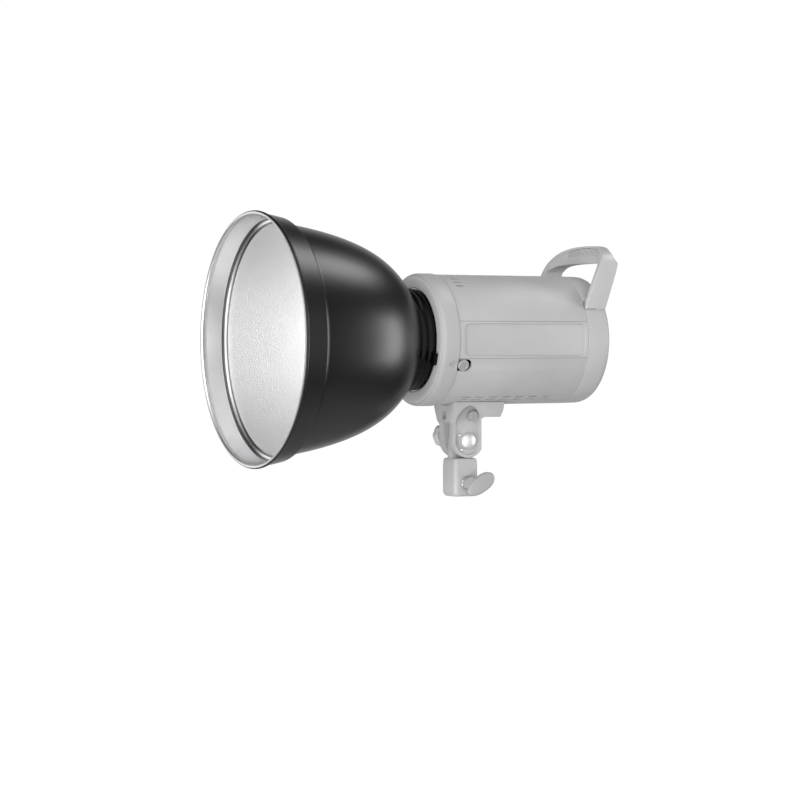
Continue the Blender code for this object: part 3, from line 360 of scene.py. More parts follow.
def coated(name, colour, roughness, tint, polish, grain, specular=0.5):
    """Opaque finish: a cloudy tint (scale, detail, low, high factor), an uneven polish (scale, detail,
    low, high step) and a fine grain (scale, detail, strength, depth)."""
    material, tree, shader = new_material(name, colour, roughness)
    colours = (shaded(colour, tint[2]), shaded(colour, tint[3]))
    cloud = two_colours(tree, noise(tree, *tint[:2]), *colours)
    gloss = spread(tree, noise(tree, *polish[:2]), roughness + polish[2], roughness + polish[3])
    relief = bump(tree, noise(tree, *grain[:2]), *grain[2:])
    fill(tree, shader, Base_Color=cloud, Roughness=gloss, Normal=relief, Specular_IOR_Level=specular)
    return material


def moulded_plastic(name, colour, roughness=0.5, grain=1400, depth=0.00004, strength=0.35):
    """Fine spark-eroded texture, faint cloudiness in colour and gloss."""
    tint = (22, 3, 0.96, 1.04)
    return coated(name, colour, roughness, tint, (60, 4, -0.05, 0.06), (grain, 2, strength, depth))


def painted_metal(name, colour, roughness, grain=900, depth=0.00005, strength=0.25, gloss_level=0.5):
    """Powder coat: a soft orange peel under an even satin gloss."""
    tint = (14, 3, 0.9, 1.12)
    polish = (45, 5, -0.04, 0.05)
    return coated(name, colour, roughness, tint, polish, (grain, 3, strength, depth), gloss_level)


def smooth_paint(name, colour, roughness):
    """Stove enamel: very even gloss with the faintest ripple."""
    tint = (10, 3, 0.92, 1.08)
    return coated(name, colour, roughness, tint, (18, 3, -0.01, 0.01), (1100, 2, 0.12, 0.00003), 0.47)


def bright_metal(name, colour, roughness, stretch=(1, 1, 1), scale=300, strength=0.15, uneven=0.06):
    """Turned or plated metal with faint tool lines and uneven polish."""
    material, tree, shader = new_material(name, colour, roughness, 1.0)
    lines = noise(tree, scale, 4, stretch)
    gloss = spread(tree, lines, max(roughness - uneven, 0.03), roughness + uneven)
    fill(tree, shader, Roughness=gloss, Normal=bump(tree, lines, strength, 0.00003))
    return material


def hammered_silver(name):
    """Anodised reflector silver with small random dimples."""
    material, tree, shader = new_material(name, (0.77, 0.77, 0.775), 0.42, 1.0)
    cells = add(tree, "TexVoronoi")
    cells.feature = "SMOOTH_F1"
    place = add(tree, "TexCoord").outputs["Object"]
    fill(tree, cells, Vector=place, Scale=1450, Smoothness=0.7)
    dimples = bump(tree, cells.outputs["Distance"], 0.95, 0.00043)
    fill(tree, shader, Normal=dimples, Roughness=spread(tree, noise(tree, 30, 4), 0.38, 0.44))
    return material


def clear(name, colour, roughness, cover):
    """Glass or clear plastic, slightly smudged; cover is its share of see-through."""
    material, tree, shader = new_material(name, colour, roughness)
    smudge = spread(tree, noise(tree, 50, 4), roughness, roughness + 0.05)
    fill(tree, shader, Transmission_Weight=cover, IOR=1.48, Roughness=smudge)
    return material


SHELL = (0.41, 0.41, 0.41)
MATERIALS = {
    "paint": smooth_paint("reflector_paint", (0.006, 0.006, 0.0063), 0.33),
    "silver": hammered_silver("hammered_silver"),
    "band": bright_metal("polished_band", (0.92, 0.92, 0.925), 0.27, (1, 1, 1), 12, 0.002, 0.006),
    # dark metal for the step and groove behind the collar: painted shade of that recess
    "joint": bright_metal("joint_painted_shade", (0.24, 0.24, 0.245), 0.3, (1, 1, 1), 12, 0.01, 0.01),
    "rim": bright_metal("bare_rim", (0.8, 0.8, 0.805), 0.3, (1, 1, 1), 12, 0.01, 0.005),
    "ring": painted_metal("ring_black", (0.003, 0.003, 0.003), 0.22, 1500, gloss_level=0.18),
    "shell": moulded_plastic("shell_grey", SHELL),
    # bumper front face: the shell grey made lighter, painted light standing in for the light the reflector
    # keeps off it
    "face": moulded_plastic("bumper_face_painted_light", shaded(SHELL, 1.4)),
    "side": moulded_plastic("side_grey", shaded(SHELL, 1.02), 0.46),
    "handle": moulded_plastic("handle_grey", (0.43, 0.43, 0.43), 0.42),
    "rubber": moulded_plastic("grip_rubber", (0.4, 0.4, 0.4), 0.72, 900, 0.00008),
    "bracket": painted_metal("bracket_grey", (0.43, 0.43, 0.43), 0.42, 700, 0.00008, 0.35),
    # knob grey made lighter than the bracket: painted light for the shade the bowl casts on the knob
    "knob": moulded_plastic("knob_grey_painted_light", (0.55, 0.55, 0.55), 0.45),
    "lever": moulded_plastic("lever_grey", (0.37, 0.37, 0.37), 0.45),
    "dark": moulded_plastic("dark_plastic", (0.12, 0.12, 0.12), 0.45),
    "panel": moulded_plastic("panel_grey", (0.2, 0.2, 0.2), 0.48),
    "steel": bright_metal("zinc_steel", (0.62, 0.62, 0.63), 0.3),
    "socket": bright_metal("socket_steel", (0.5, 0.5, 0.51), 0.3, (1, 1, 1), 200),
    "chrome": bright_metal("chrome", (0.92, 0.92, 0.92), 0.52, (1, 1, 1), 500, 0.05),
    "brass": bright_metal("brass", (0.72, 0.55, 0.26), 0.25),
    "ceramic": moulded_plastic("lamp_ceramic", (0.78, 0.77, 0.73), 0.5, 700),
    "glass": clear("clear_glass", (0.95, 0.97, 0.97), 0.03, 0.95),
    "window": clear("display_cover", (0.9, 0.92, 0.92), 0.2, 0.92),
    "bulb": clear("frosted_bulb", (0.95, 0.94, 0.9), 0.35, 0.6),
    "red": clear("red_lens", (0.55, 0.04, 0.03), 0.08, 0.6),
    "screen": moulded_plastic("screen", (0.02, 0.03, 0.035), 0.2, 300, 0.00001, 0.1),
    "board": painted_metal("board_green", (0.03, 0.18, 0.07), 0.4),
    "sleeve": moulded_plastic("capacitor_sleeve", (0.05, 0.06, 0.12), 0.35, 400),
    "core": painted_metal("transformer_core", (0.12, 0.11, 0.1), 0.5),
    "mark": moulded_plastic("print_white", (0.75, 0.75, 0.75), 0.5),
    "button": moulded_plastic("button_grey", (0.36, 0.36, 0.36), 0.45),
    "screw": painted_metal("screw_grey", (0.3, 0.3, 0.3), 0.4),
    "lit": moulded_plastic("lit_digit", (0.85, 0.9, 0.9), 0.4),
}


# --- Reflector ---

COLLAR_BACK = -0.1488
COLLAR_RADIUS = 0.1178
BEAD = 0.0021
NECK_RADIUS = 0.0503
BOWL_CURVE = [(-0.1463, 0.1124), (-0.0735, 0.1015), (-0.036, 0.0845), (NECK_BACK, NECK_RADIUS)]
BOWL_WALL = 0.0015
NECK_HOLE = 0.0436
RIDGE_BACK = -0.0031
RIDGE_PITCH = 0.0072


def cubic(corners, share):
    """Point, or plain number, at a share of the way along a cubic curve."""
    rest = 1 - share
    weights = (rest ** 3, 3 * rest * rest * share, 3 * rest * share * share, share ** 3)
    if isinstance(corners[0], tuple):
        return tuple(cubic(values, share) for values in zip(*corners))
    return sum(weight * corner for weight, corner in zip(weights, corners))


def bowl_curve(steps):
    """Outside of the bowl, from its collar to its neck, as (back, radius)."""
    return [cubic(BOWL_CURVE, step / steps) for step in range(steps + 1)]


def offset_inward(points, distance):
    """Inside of a wall of even thickness."""
    moved = []
    for number, (back, radius) in enumerate(points):
        before = points[max(number - 1, 0)]
        after = points[min(number + 1, len(points) - 1)]
        run = Vector((after[0] - before[0], after[1] - before[1])).normalized()
        moved.append((back + run.y * distance, radius - run.x * distance))
    return moved


def straight(first, last, steps):
    """Points from one (back, radius) to another."""
    points = []
    for step in range(steps + 1):
        share = step / steps
        points.append(tuple(a + (b - a) * share for a, b in zip(first, last)))
    return points


def reflector():
    """Spun bowl with a rolled rim: painted outside, silver inside, with dark painted shade on the step and
    groove of the joint behind the collar.
    """
    bead = (MOUTH_BACK + BEAD, MOUTH_RADIUS - BEAD)
    painted = arc_points(bead, BEAD, 145, 40, 10)
    painted += straight((MOUTH_BACK + 0.0042, MOUTH_RADIUS - 0.0015), (COLLAR_BACK, COLLAR_RADIUS), 8)
    painted += arc_points((COLLAR_BACK - 0.0002, COLLAR_RADIUS - 0.0012), 0.0012, 80, -10, 6)
    painted += [(-0.1476, 0.1144), (-0.1472, 0.1132)]
    skin = bowl_curve(56)
    painted += skin + [(NECK_BACK, NECK_HOLE), (NECK_BACK - BOWL_WALL, NECK_HOLE)]
    inner = offset_inward(skin, BOWL_WALL)
    inner[-1] = (NECK_BACK - BOWL_WALL, NECK_RADIUS - BOWL_WALL)
    hammered = inner[::-1]
    # the step line and the groove take the dark finish that paints the recess's shade
    step_line = [(-0.1477, 0.1113), (-0.1484, 0.1127)]
    ledge = [(-0.1487, 0.1132), (-0.1494, 0.1143)]
    groove = [(-0.1498, 0.1152), (-0.1506, 0.1168), (-0.1519, 0.1169)]
    band = straight((-0.1525, 0.1165), (MOUTH_BACK + 0.004, MOUTH_RADIUS - 0.0037), 8)
    rim = arc_points(bead, BEAD, 290, 145, 14)[:-1]
    runs = [(painted, 0), (hammered, 2), (step_line, 4), (ledge, 1), (groove, 4), (band, 1), (rim, 3)]
    outline = []
    kinds = []
    for points, kind in runs:
        outline += points
        kinds += [kind] * len(points)
    bm = turned(outline, kinds=kinds)
    piece("reflector", bm, ("paint", "band", "silver", "rim", "joint"), "reflector_bowl", body="reflector",
          sharp=42)


def bayonet_ring():
    """Black neck ring with soft ridges, three lugs behind it and a block slotted for the catch."""
    radius, tube, bore = 0.05, 0.0443, 0.0425
    front = NECK_BACK + GAP
    outline = [(front, bore), (front, radius - 0.001)]
    steps = 60
    for step in range(steps + 1):
        back = front + 0.0003 + (-0.0008 - front - 0.0003) * step / steps
        wave = 0.5 + 0.5 * cos(2 * pi * (back - RIDGE_BACK) / RIDGE_PITCH)
        outline.append((back, radius - 0.0012 + 0.0012 * wave ** 0.6))
    outline += [(-0.0004, radius - 0.0012), (-0.0004, tube), (0.009, tube), (0.009, bore)]
    lugs = []
    for number in range(3):
        middle = radians(30 + 120 * number)
        band = arc_band(tube - 0.0008, 0.0488, middle - radians(12), middle + radians(12), 12)
        lugs.append(prism(band, 0.0052, 0.0082))
    block_outline = rounded_rectangle(-0.0045, -0.0004, -0.007, 0.0047, 0.0005, 3)
    block = prism(block_outline, radius - 0.0016, radius + 0.0062, STROBE_AXIS, "X")
    slot_outline = [(0.001, 0.0022), (-0.0024, 0.0022), (-0.0024, 0.0)]
    slot_outline += [(-0.0008, -0.011), (0.001, -0.011)]
    slot = prism(slot_outline, radius + 0.0006, radius + 0.0048, STROBE_AXIS, "X")
    piece("neck_ring", turned(outline), "ring", "bayonet_ring", body="reflector",
          adds=lugs + [spun_about_axis(block, PIN_ANGLE)], cuts=[spun_about_axis(slot, PIN_ANGLE)])


# --- Front of the strobe ---

BUMPER_BORE = 0.0509
PIN_RING = 0.0529
PIN_RADIUS = 0.0015
PIN_ANGLE = radians(-18.5)
BUTTON_ANGLE = radians(-22.6)
BUTTON_BACK = 0.0248
BUTTON_RADIUS = 0.0055


def ellipsoid(centre, half_axes, steps=32):
    """Round cutter for a finger hollow."""
    bm = bmesh.new()
    bmesh.ops.create_uvsphere(bm, u_segments=steps * 2, v_segments=steps, radius=1.0)
    place = Matrix.Translation(centre) @ Matrix.Diagonal((*half_axes, 1))
    bmesh.ops.transform(bm, matrix=place, verts=bm.verts)
    return bm


def front_bumper():
    """Ring with a softly rounded front edge and a finger hollow in front of the catch button; its flat front
    face wears a lighter copy of the shell grey as painted light.
    """
    wall = 0.0032
    edge = 0.0052
    outline = [(0.0004, BUMPER_BORE), (0.0, BUMPER_BORE + 0.0004), (0.0, 0.058)]
    outline += arc_points((edge, BUMPER_RADIUS - edge), edge, 175, 90, 14)
    # the flat front face and the start of its rounding take the lighter grey: painted light
    kinds = [1] * 6 + [0] * (len(outline) - 6)
    outline += arc_points((BUMPER_DEPTH - 0.0006, BUMPER_RADIUS - 0.0006), 0.0006, 80, 0, 4)
    outline += [(BUMPER_DEPTH, BUMPER_RADIUS - wall), (wall, BUMPER_RADIUS - wall), (wall, BUMPER_BORE)]
    kinds += [0] * (len(outline) - len(kinds))
    hole = rod(PIN_RADIUS + 0.0004, -0.002, wall + 0.001, (PIN_RING, FRONT_Y, AXIS_Z), steps=24)
    hollow = ellipsoid((0.0714, FRONT_Y + 0.015, AXIS_Z), (0.0088, 0.01, 0.008))
    piece("bumper", turned(outline, kinds=kinds), ("shell", "face"), "front_bumper",
          cuts=[spun_about_axis(hole, PIN_ANGLE), spun_about_axis(hollow, BUTTON_ANGLE)], sharp=30)


def bayonet_socket():
    """Steel socket ring whose three tabs hold the reflector's lugs."""
    outline = [(0.0004, 0.0492), (0.0004, 0.0505), (0.012, 0.0505), (0.012, 0.0447), (0.0092, 0.0447)]
    outline.append((0.0092, 0.0492))
    tabs = []
    for number in range(3):
        gap_middle = radians(50 + 120 * number)
        band = arc_band(0.0447, 0.0497, gap_middle + radians(14), gap_middle + radians(106), 40)
        tabs.append(prism(band, 0.0004, 0.0045))
    piece("socket_ring", turned(outline), "socket", "bayonet_socket", adds=tabs,
          bevel=0.0002, bevel_steps=2)


def catch():
    """Thumb button with three grip ribs on its sliding carriage, and the sprung pin."""
    pin = [(-0.0018, 0), (-0.0018, 0.0011), (-0.0014, PIN_RADIUS), (0.019, PIN_RADIUS), (0.019, 0)]
    pin_shape = turned(pin, (PIN_RING, FRONT_Y, AXIS_Z), steps=32)
    piece("catch_pin", spun_about_axis(pin_shape, PIN_ANGLE), "chrome", "lock_pin", body="catch")

    carriage = prism(rectangle(0.0193, 0.03, -0.005, 0.0062), 0.0495, 0.0592, STROBE_AXIS, "X")
    centre = (0.0, FRONT_Y + BUTTON_BACK, AXIS_Z)
    profile = [(0.058, 0), (0.058, BUTTON_RADIUS)]
    profile += arc_points((0.0645, BUTTON_RADIUS - 0.0007), 0.0007, 90, 0, 5)
    profile += [(0.0652, 0.004), (0.0647, 0.0036), (0.0647, 0)]
    button = turned(profile, centre, "X", MEDIUM)
    ribs = []
    for across in (-0.0019, 0.0, 0.0019):
        reach = 0.0027 if across else 0.0031
        rib = rounded_rectangle(across - 0.0004, across + 0.0004, -reach, reach, 0.0003, 3)
        ribs.append(prism(rib, 0.064, 0.0652, centre, "X"))
    parts = [button] + ribs
    piece("catch_button", spun_about_axis(carriage, BUTTON_ANGLE), "button", "lock_slide", body="catch",
          adds=[spun_about_axis(shape, BUTTON_ANGLE) for shape in parts])


def lamps():
    """Ceramic plate, ring flash tube with its two legs, and the screw-in modelling lamp."""
    legs = [radians(-101), radians(-79)]
    ring = 0.033
    holes = []
    for angle in legs:
        place = (ring * cos(angle), FRONT_Y, AXIS_Z + ring * sin(angle))
        holes.append(rod(0.0046, 0.012, 0.02, place, steps=32))
    plate = [(0.014, 0.015), (0.014, 0.0482), (0.0148, 0.049), (0.0175, 0.049), (0.0175, 0.015)]
    piece("lamp_plate", turned(plate), "ceramic", "lamp_base", cuts=holes, bevel=0.0003,
          bevel_steps=2)

    front, corner = 0.001, 0.003
    path = [(0.0215, legs[1]), (front + corner, legs[1])]
    sweep = 2 * pi - (legs[1] - legs[0])
    for step in range(97):
        path.append((front, legs[1] + radians(4) + (sweep - radians(8)) * step / 96))
    path += [(front + corner, legs[0]), (0.0215, legs[0])]
    points = []
    for back, angle in path:
        across = Vector((cos(angle), 0, sin(angle))) * ring
        points.append(Vector((0, FRONT_Y + back, AXIS_Z)) + across)
    piece("ring_tube", swept(points, 0.0038, 24), "glass", "flash_tube")

    bulb = [(-0.022, 0)]
    bulb += arc_points((-0.006, 0.0), 0.016, 176, 75, 22)
    bulb += [(0.001, 0.0146), (0.004, 0.0124), (0.0065, 0.0112), (0.0105, 0.0108), (0.0105, 0)]
    piece("lamp_bulb", turned(bulb, steps=96), "bulb", "modelling_lamp")
    holder = [(0.0108, 0), (0.0108, 0.0134), (0.0114, 0.014), (0.029, 0.014), (0.029, 0)]
    piece("lamp_holder", turned(holder, steps=96), "ceramic", "lamp_socket")


# --- Casing ---

CASE_RADIUS_FRONT = 0.0641
CASE_RADIUS_REAR = 0.0634
CASE_WALL = 0.0026
SEAM_ANGLE = radians(16.3)
SEAM_GAP = radians(0.15)
PLATE_FRONT = 0.0245
PLATE_REAR = 0.159
PLATE_HALF_HEIGHT = 0.0158
PLATE_DEPTH = 0.0011
TOP_VENTS = 12
TOP_VENT_ARC = (55, 125)                            # degrees
LOWER_VENTS = 7                                     # in each row
LOWER_VENT_ROWS = (-61.6, -66.7, -118.4, -113.3)    # degrees
LOWER_VENT_PITCH = 0.015
NOTCH_ROUND = (0.0278, 0.0061)                      # middle and radius of the button notch's end


def case_radius(back):
    """Outer radius of the tapering casing, by the distance behind the front."""
    share = (back - CASE_FRONT) / (CASE_REAR - CASE_FRONT)
    return CASE_RADIUS_FRONT + (CASE_RADIUS_REAR - CASE_RADIUS_FRONT) * share


def case_sector(start, end, steps):
    """Part of the tapering casing between two angles."""
    sections = []
    for back in (CASE_FRONT, CASE_REAR):
        radius = case_radius(back)
        sections.append((back, arc_band(radius - CASE_WALL, radius, start, end, steps)))
    return lofted(sections)


def vent_cutter(angle, start, length):
    """Cutter for one vent slot through the casing's wall."""
    slot = rounded_rectangle(start, start + length, -0.001, 0.001, 0.0009, 4)
    return spun_about_axis(prism(slot, 0.058, 0.068, STROBE_AXIS, "X"), angle)


def casing():
    """Two ventilated half shells and the flush strips between them."""
    first, last = TOP_VENT_ARC
    top_vents = []
    for number in range(TOP_VENTS):
        angle = first + (last - first) * number / (TOP_VENTS - 1)
        top_vents.append(vent_cutter(radians(angle), 0.029, 0.008))
    start = SEAM_ANGLE + SEAM_GAP
    piece("top_shell", case_sector(start, pi - start, 110), "shell", "upper_shell",
          cuts=[merged(top_vents)], bevel=0.0003, bevel_steps=2)

    vents = []
    for angle in LOWER_VENT_ROWS:
        for number in range(LOWER_VENTS):
            vents.append(vent_cutter(radians(angle), 0.0385 + LOWER_VENT_PITCH * number, 0.0095))
    middle, radius = NOTCH_ROUND
    slot = [(0.01, -radius), (middle, -radius)] + arc_points((middle, 0), radius, -84, 84, 20)
    slot += [(middle, radius), (0.01, radius)]
    notch = spun_about_axis(prism(slot, 0.057, 0.07, STROBE_AXIS, "X"), BUTTON_ANGLE)
    piece("bottom_shell", case_sector(pi + start, 2 * pi - start, 110), "shell", "lower_shell",
          cuts=[merged(vents), notch], bevel=0.0003, bevel_steps=2)

    start = SEAM_ANGLE - SEAM_GAP
    plate = rounded_rectangle(PLATE_FRONT, PLATE_REAR, -PLATE_HALF_HEIGHT, PLATE_HALF_HEIGHT, 0.006, 14)
    for side, middle in (("left", 0.0), ("right", pi)):
        sections = []
        for back in (0.0, CASE_REAR + 0.01):
            radius = case_radius(back) - PLATE_DEPTH
            sections.append((back, arc_band(radius, 0.075, middle - 0.4, middle + 0.4, 60)))
        recess = as_object("recess", lofted(sections))
        combine(recess, spun_about_axis(prism(plate, 0.05, 0.08, STROBE_AXIS, "X"), middle), "INTERSECT")
        piece(f"{side}_strip", case_sector(middle - start, middle + start, 40), "side",
              f"{side}_side_panel", cuts=[shape_of(recess)], bevel=0.0005)


# --- Rear ring and handle ---

# Carrying handle: curves of its right half, as (across, height above the optical axis)
HANDLE_FOOT = 0.0305
HANDLE_HALF_WIDTH = 0.057
HANDLE_STRAP = 0.007
HANDLE_OUTSIDE = [(0.057, 0.062), (0.057, 0.089), (0.038, 0.094), (0.0, 0.094)]
HANDLE_SEAT = [(0.05, 0.062), (0.05, 0.084), (0.036, 0.0918), (0.0, 0.0918)]
HANDLE_INSIDE = [(0.05, 0.062), (0.05, 0.075), (0.044, 0.0764), (0.0, 0.0764)]
HANDLE_FRONT = [0.1745, 0.185, 0.197, 0.197]
HANDLE_FOOT_FRONT = 0.1626
HANDLE_FOOT_DEPTH = 0.0227
HANDLE_LEAN = 0.3
DEPTH_OUTSIDE = [(0.0, 0.0215), (0.2, 0.0203), (0.3, 0.0142), (0.5, 0.0085), (1.0, 0.0075)]
DEPTH_INSIDE = [(0.0, 0.0215), (0.2, 0.02), (0.5, 0.0165), (1.0, 0.014)]
GRIP_START = 0.22
GROOVES = 11            # on each half of the grip
GROOVE_PITCH = 0.028    # share of the grip's curve


def rear_ring():
    """Rear end of the casing: a tapering lip round the control panel, slotted for the handle."""
    outline = [(CASE_REAR + GAP, 0.063), (CASE_REAR + GAP + 0.0004, CASE_RADIUS_REAR), (0.18, 0.0631)]
    outline += [(0.1832, 0.0627), (0.1852, 0.062), (0.1868, 0.061), (0.1877, 0.06)]
    outline += [(RING_REAR, 0.0592), (0.1878, 0.0586), (0.1872, 0.0584)]
    outline += [(0.1757, 0.0584), (0.1757, 0.055), (CASE_REAR + GAP, 0.055)]
    slots = []
    for side in (-1, 1):
        edges = sorted((side * (HANDLE_HALF_WIDTH - HANDLE_STRAP - 0.0012), side * 0.07))
        slot = rectangle(edges[0], edges[1], HANDLE_FOOT - GAP, 0.048)
        slots.append(prism(slot, 0.15, 0.195))
    piece("rear_lip", turned(outline), "shell", "rear_ring", cuts=slots, bevel=0.0003,
          bevel_steps=2)


def between(table, share):
    """Value at a share of the way, from a short table of (share, value)."""
    for (start, first), (end, last) in zip(table, table[1:]):
        if share <= end:
            return first + (last - first) * (share - start) / (end - start)
    return table[-1][1]


def handle_edge(curve, share, inset=0.0):
    """Front and rear points of the handle at a share of one of its curves."""
    across, height = cubic(curve, share)
    outside = cubic(HANDLE_OUTSIDE, share)[1]
    inside = cubic(HANDLE_INSIDE, share)[1]
    depth_share = (outside - height) / (outside - inside) if outside > inside else 0.0
    depth = between(DEPTH_OUTSIDE, share) * (1 - depth_share) + between(DEPTH_INSIDE, share) * depth_share
    front = cubic(HANDLE_FRONT, share) - HANDLE_LEAN * (outside - height)
    return [
        Vector((across, FRONT_Y + front + inset, AXIS_Z + height)),
        Vector((across, FRONT_Y + front + depth - inset, AXIS_Z + height)),
    ]


def handle_section(outer, inner, share, gap=0.0):
    """Four corners of the handle's section, the outer pair moved inward by the gap."""
    front, rear = handle_edge(outer, share, gap)
    inner_front, inner_rear = handle_edge(inner, share, gap)
    run = (inner_front - front).normalized() * gap
    return [front + run, rear + run, inner_rear, inner_front]


def handle_foot():
    """Section at the foot of the right leg."""
    corners = []
    for across, back in ((0, 0), (0, 1), (1, 1), (1, 0)):
        x = HANDLE_HALF_WIDTH - HANDLE_STRAP * across
        y = FRONT_Y + HANDLE_FOOT_FRONT + HANDLE_FOOT_DEPTH * back
        corners.append(Vector((x, y, AXIS_Z + HANDLE_FOOT)))
    return corners


def mirrored_sweep(sections):
    """Solid through the right half's sections and their mirror images."""
    bm = bmesh.new()
    left = [[Vector((-point.x, point.y, point.z)) for point in section] for section in sections[:-1]]
    rings = []
    for section in sections + left[::-1]:
        rings.append([bm.verts.new(point) for point in section])
    return closed(bm, rings)


def rib_grooves():
    """Narrow slots across the front face of the grip, between its ribs."""
    slots = []
    for number in range(GROOVES):
        share = 1 - GROOVE_PITCH * number
        across, top = cubic(HANDLE_OUTSIDE, share)
        face = FRONT_Y + cubic(HANDLE_FRONT, share)
        side = []
        for drop, reach in ((0.0095, -0.003), (0.0095, 0.0016), (0.001, 0.0016), (0.001, -0.003)):
            side.append((face - HANDLE_LEAN * drop + reach, AXIS_Z + top - drop))
        for middle in sorted({across, -across}):
            slots.append(prism(side, middle - 0.0007, middle + 0.0007, (0, 0, 0), "X"))
    return merged(slots)


def handle():
    """Arched carrying handle whose bar bows back, and the soft ribbed grip under the bar."""
    steps = 36
    shares = [GRIP_START + (1 - GRIP_START) * step / steps for step in range(steps + 1)]
    frame_sections = [handle_foot()]
    for share in [GRIP_START * step / 6 for step in range(6)] + shares:
        frame_sections.append(handle_section(HANDLE_OUTSIDE, HANDLE_SEAT, share))
    piece("carry_handle", mirrored_sweep(frame_sections), "handle", "handle_frame", bevel=0.0007)
    grip = [handle_section(HANDLE_SEAT, HANDLE_INSIDE, share, GAP) for share in shares]
    piece("rubber_grip", mirrored_sweep(grip), "rubber", "handle_grip", cuts=[rib_grooves()], bevel=0.0005)


# --- Rear panel ---

PANEL_FRONT = 0.176
PANEL_REAR = 0.179
PANEL_RADIUS = 0.058
DISPLAY = (-0.0255, 0.0255, 0.012, 0.04)
DIAL = (0.0, -0.008)
DIAL_RADIUS = 0.014
BUTTONS = {
    "test_button": (0.034, 0.003),
    "lamp_button": (0.034, -0.009),
    "sound_button": (-0.034, 0.003),
    "slave_button": (-0.034, -0.009),
}
BUTTON_HALF = (0.0055, 0.0034)
ROCKER = (-0.022, -0.0365)
ROCKER_HALF = (0.006, 0.0088)
ROCKER_PIVOT_BACK = 0.1755
INLET = (0.008, -0.0365)
INLET_HALF = (0.0135, 0.0098)
FUSE = (0.037, -0.025)
SYNC = (0.037, 0.02)
SENSOR = (-0.037, 0.02)
PANEL_SCREWS = [(0.049, 0.006), (-0.049, 0.006), (0.018, -0.0515), (-0.018, -0.0515)]
SCREEN_REAR = 0.1756
PRINT_DEPTH = 0.00012
DIGIT_SIZE = (0.008, 0.015)
DIGIT_FOOT = 0.018      # above the optical axis
DIGIT_BAR = 0.0011
DIGIT_RELIEF = 0.0002
SEGMENTS = {"5": "acdfg", "0": "abcdef"}     # lit bars of each digit


def panel_point(place, back=0.0):
    """Point on the rear panel, from its place across and up."""
    return (place[0], FRONT_Y + back, AXIS_Z + place[1])


def widened(half, extra, radius=0.0):
    """Rectangle about the middle, from its half sizes, made larger all round."""
    edges = grown((-half[0], half[0], -half[1], half[1]), extra)
    return rounded_rectangle(*edges, radius, 5) if radius else rectangle(*edges)


def rear_panel():
    """Round control panel with its openings and a printed scale round the dial."""
    edge = [(PANEL_FRONT, 0), (PANEL_FRONT, PANEL_RADIUS), (PANEL_REAR - 0.0004, PANEL_RADIUS)]
    edge += [(PANEL_REAR, PANEL_RADIUS - 0.0004), (PANEL_REAR, 0)]
    low, high = PANEL_FRONT - 0.003, PANEL_REAR + 0.003
    window = rounded_rectangle(*grown(DISPLAY, GAP), 0.0012, 4)
    holes = [prism(window, low, high)]
    for place in BUTTONS.values():
        holes.append(prism(widened(BUTTON_HALF, 0.0003, 0.001), low, high, panel_point(place)))
    holes.append(prism(widened(ROCKER_HALF, 0.0012), low, high, panel_point(ROCKER)))
    holes.append(prism(widened(INLET_HALF, GAP, 0.0022), low, high, panel_point(INLET)))
    for place, radius in ((DIAL, 0.0034), (FUSE, 0.0058), (SYNC, 0.0048), (SENSOR, 0.0053)):
        holes.append(rod(radius, low, high, panel_point(place)))
    piece("control_panel", turned(edge), "panel", "rear_panel", cuts=[merged(holes)],
          bevel=0.0003, bevel_steps=2)

    marks = []
    for number in range(11):
        angle = radians(-135 + 27 * number)
        length = 0.0026 if number % 5 == 0 else 0.0016
        line = rectangle(-0.00025, 0.00025, 0.0156, 0.0156 + length)
        tick = prism(line, PANEL_REAR, PANEL_REAR + PRINT_DEPTH, panel_point(DIAL))
        marks.append(spun(tick, panel_point(DIAL), angle))
    for place in BUTTONS.values():
        line = rounded_rectangle(-0.004, 0.004, -0.006, -0.0055, 0.0002, 3)
        marks.append(prism(line, PANEL_REAR, PANEL_REAR + PRINT_DEPTH, panel_point(place)))
    piece("panel_marks", merged(marks), "mark")

    for number, place in enumerate(PANEL_SCREWS):
        head = [(0, 0), (0, 0.0022), (0.0006, 0.002), (0.0009, 0.0012), (0.001, 0)]
        head = [(PANEL_REAR + rise, radius) for rise, radius in head]
        cross = []
        for half_x, half_z in ((0.0013, 0.0003), (0.0003, 0.0013)):
            cross.append(prism(rectangle(-half_x, half_x, -half_z, half_z), PANEL_REAR + 0.0004,
                               PANEL_REAR + 0.002, panel_point(place)))
        piece(f"panel_screw_{number}", turned(head, panel_point(place), steps=40), "screw", cuts=cross)


def on_screen(edges):
    """Thin lit plate on the display, from its edges as seen from behind the strobe."""
    left, right, low, high = edges
    return prism(rectangle(-right, -left, low, high), SCREEN_REAR, SCREEN_REAR + DIGIT_RELIEF)


def digit(character, left):
    """Seven-segment digit as thin plates."""
    foot, bar = DIGIT_FOOT, DIGIT_BAR
    width, height = DIGIT_SIZE
    middle = foot + height / 2
    places = {
        "a": (left + bar, left + width - bar, foot + height - bar, foot + height),
        "b": (left + width - bar, left + width, middle, foot + height - bar * 0.4),
        "c": (left + width - bar, left + width, foot + bar * 0.4, middle),
        "d": (left + bar, left + width - bar, foot, foot + bar),
        "e": (left, left + bar, foot + bar * 0.4, middle),
        "f": (left, left + bar, middle, foot + height - bar * 0.4),
        "g": (left + bar, left + width - bar, middle - bar / 2, middle + bar / 2),
    }
    return [on_screen(grown(places[segment], -0.0001)) for segment in SEGMENTS[character]]


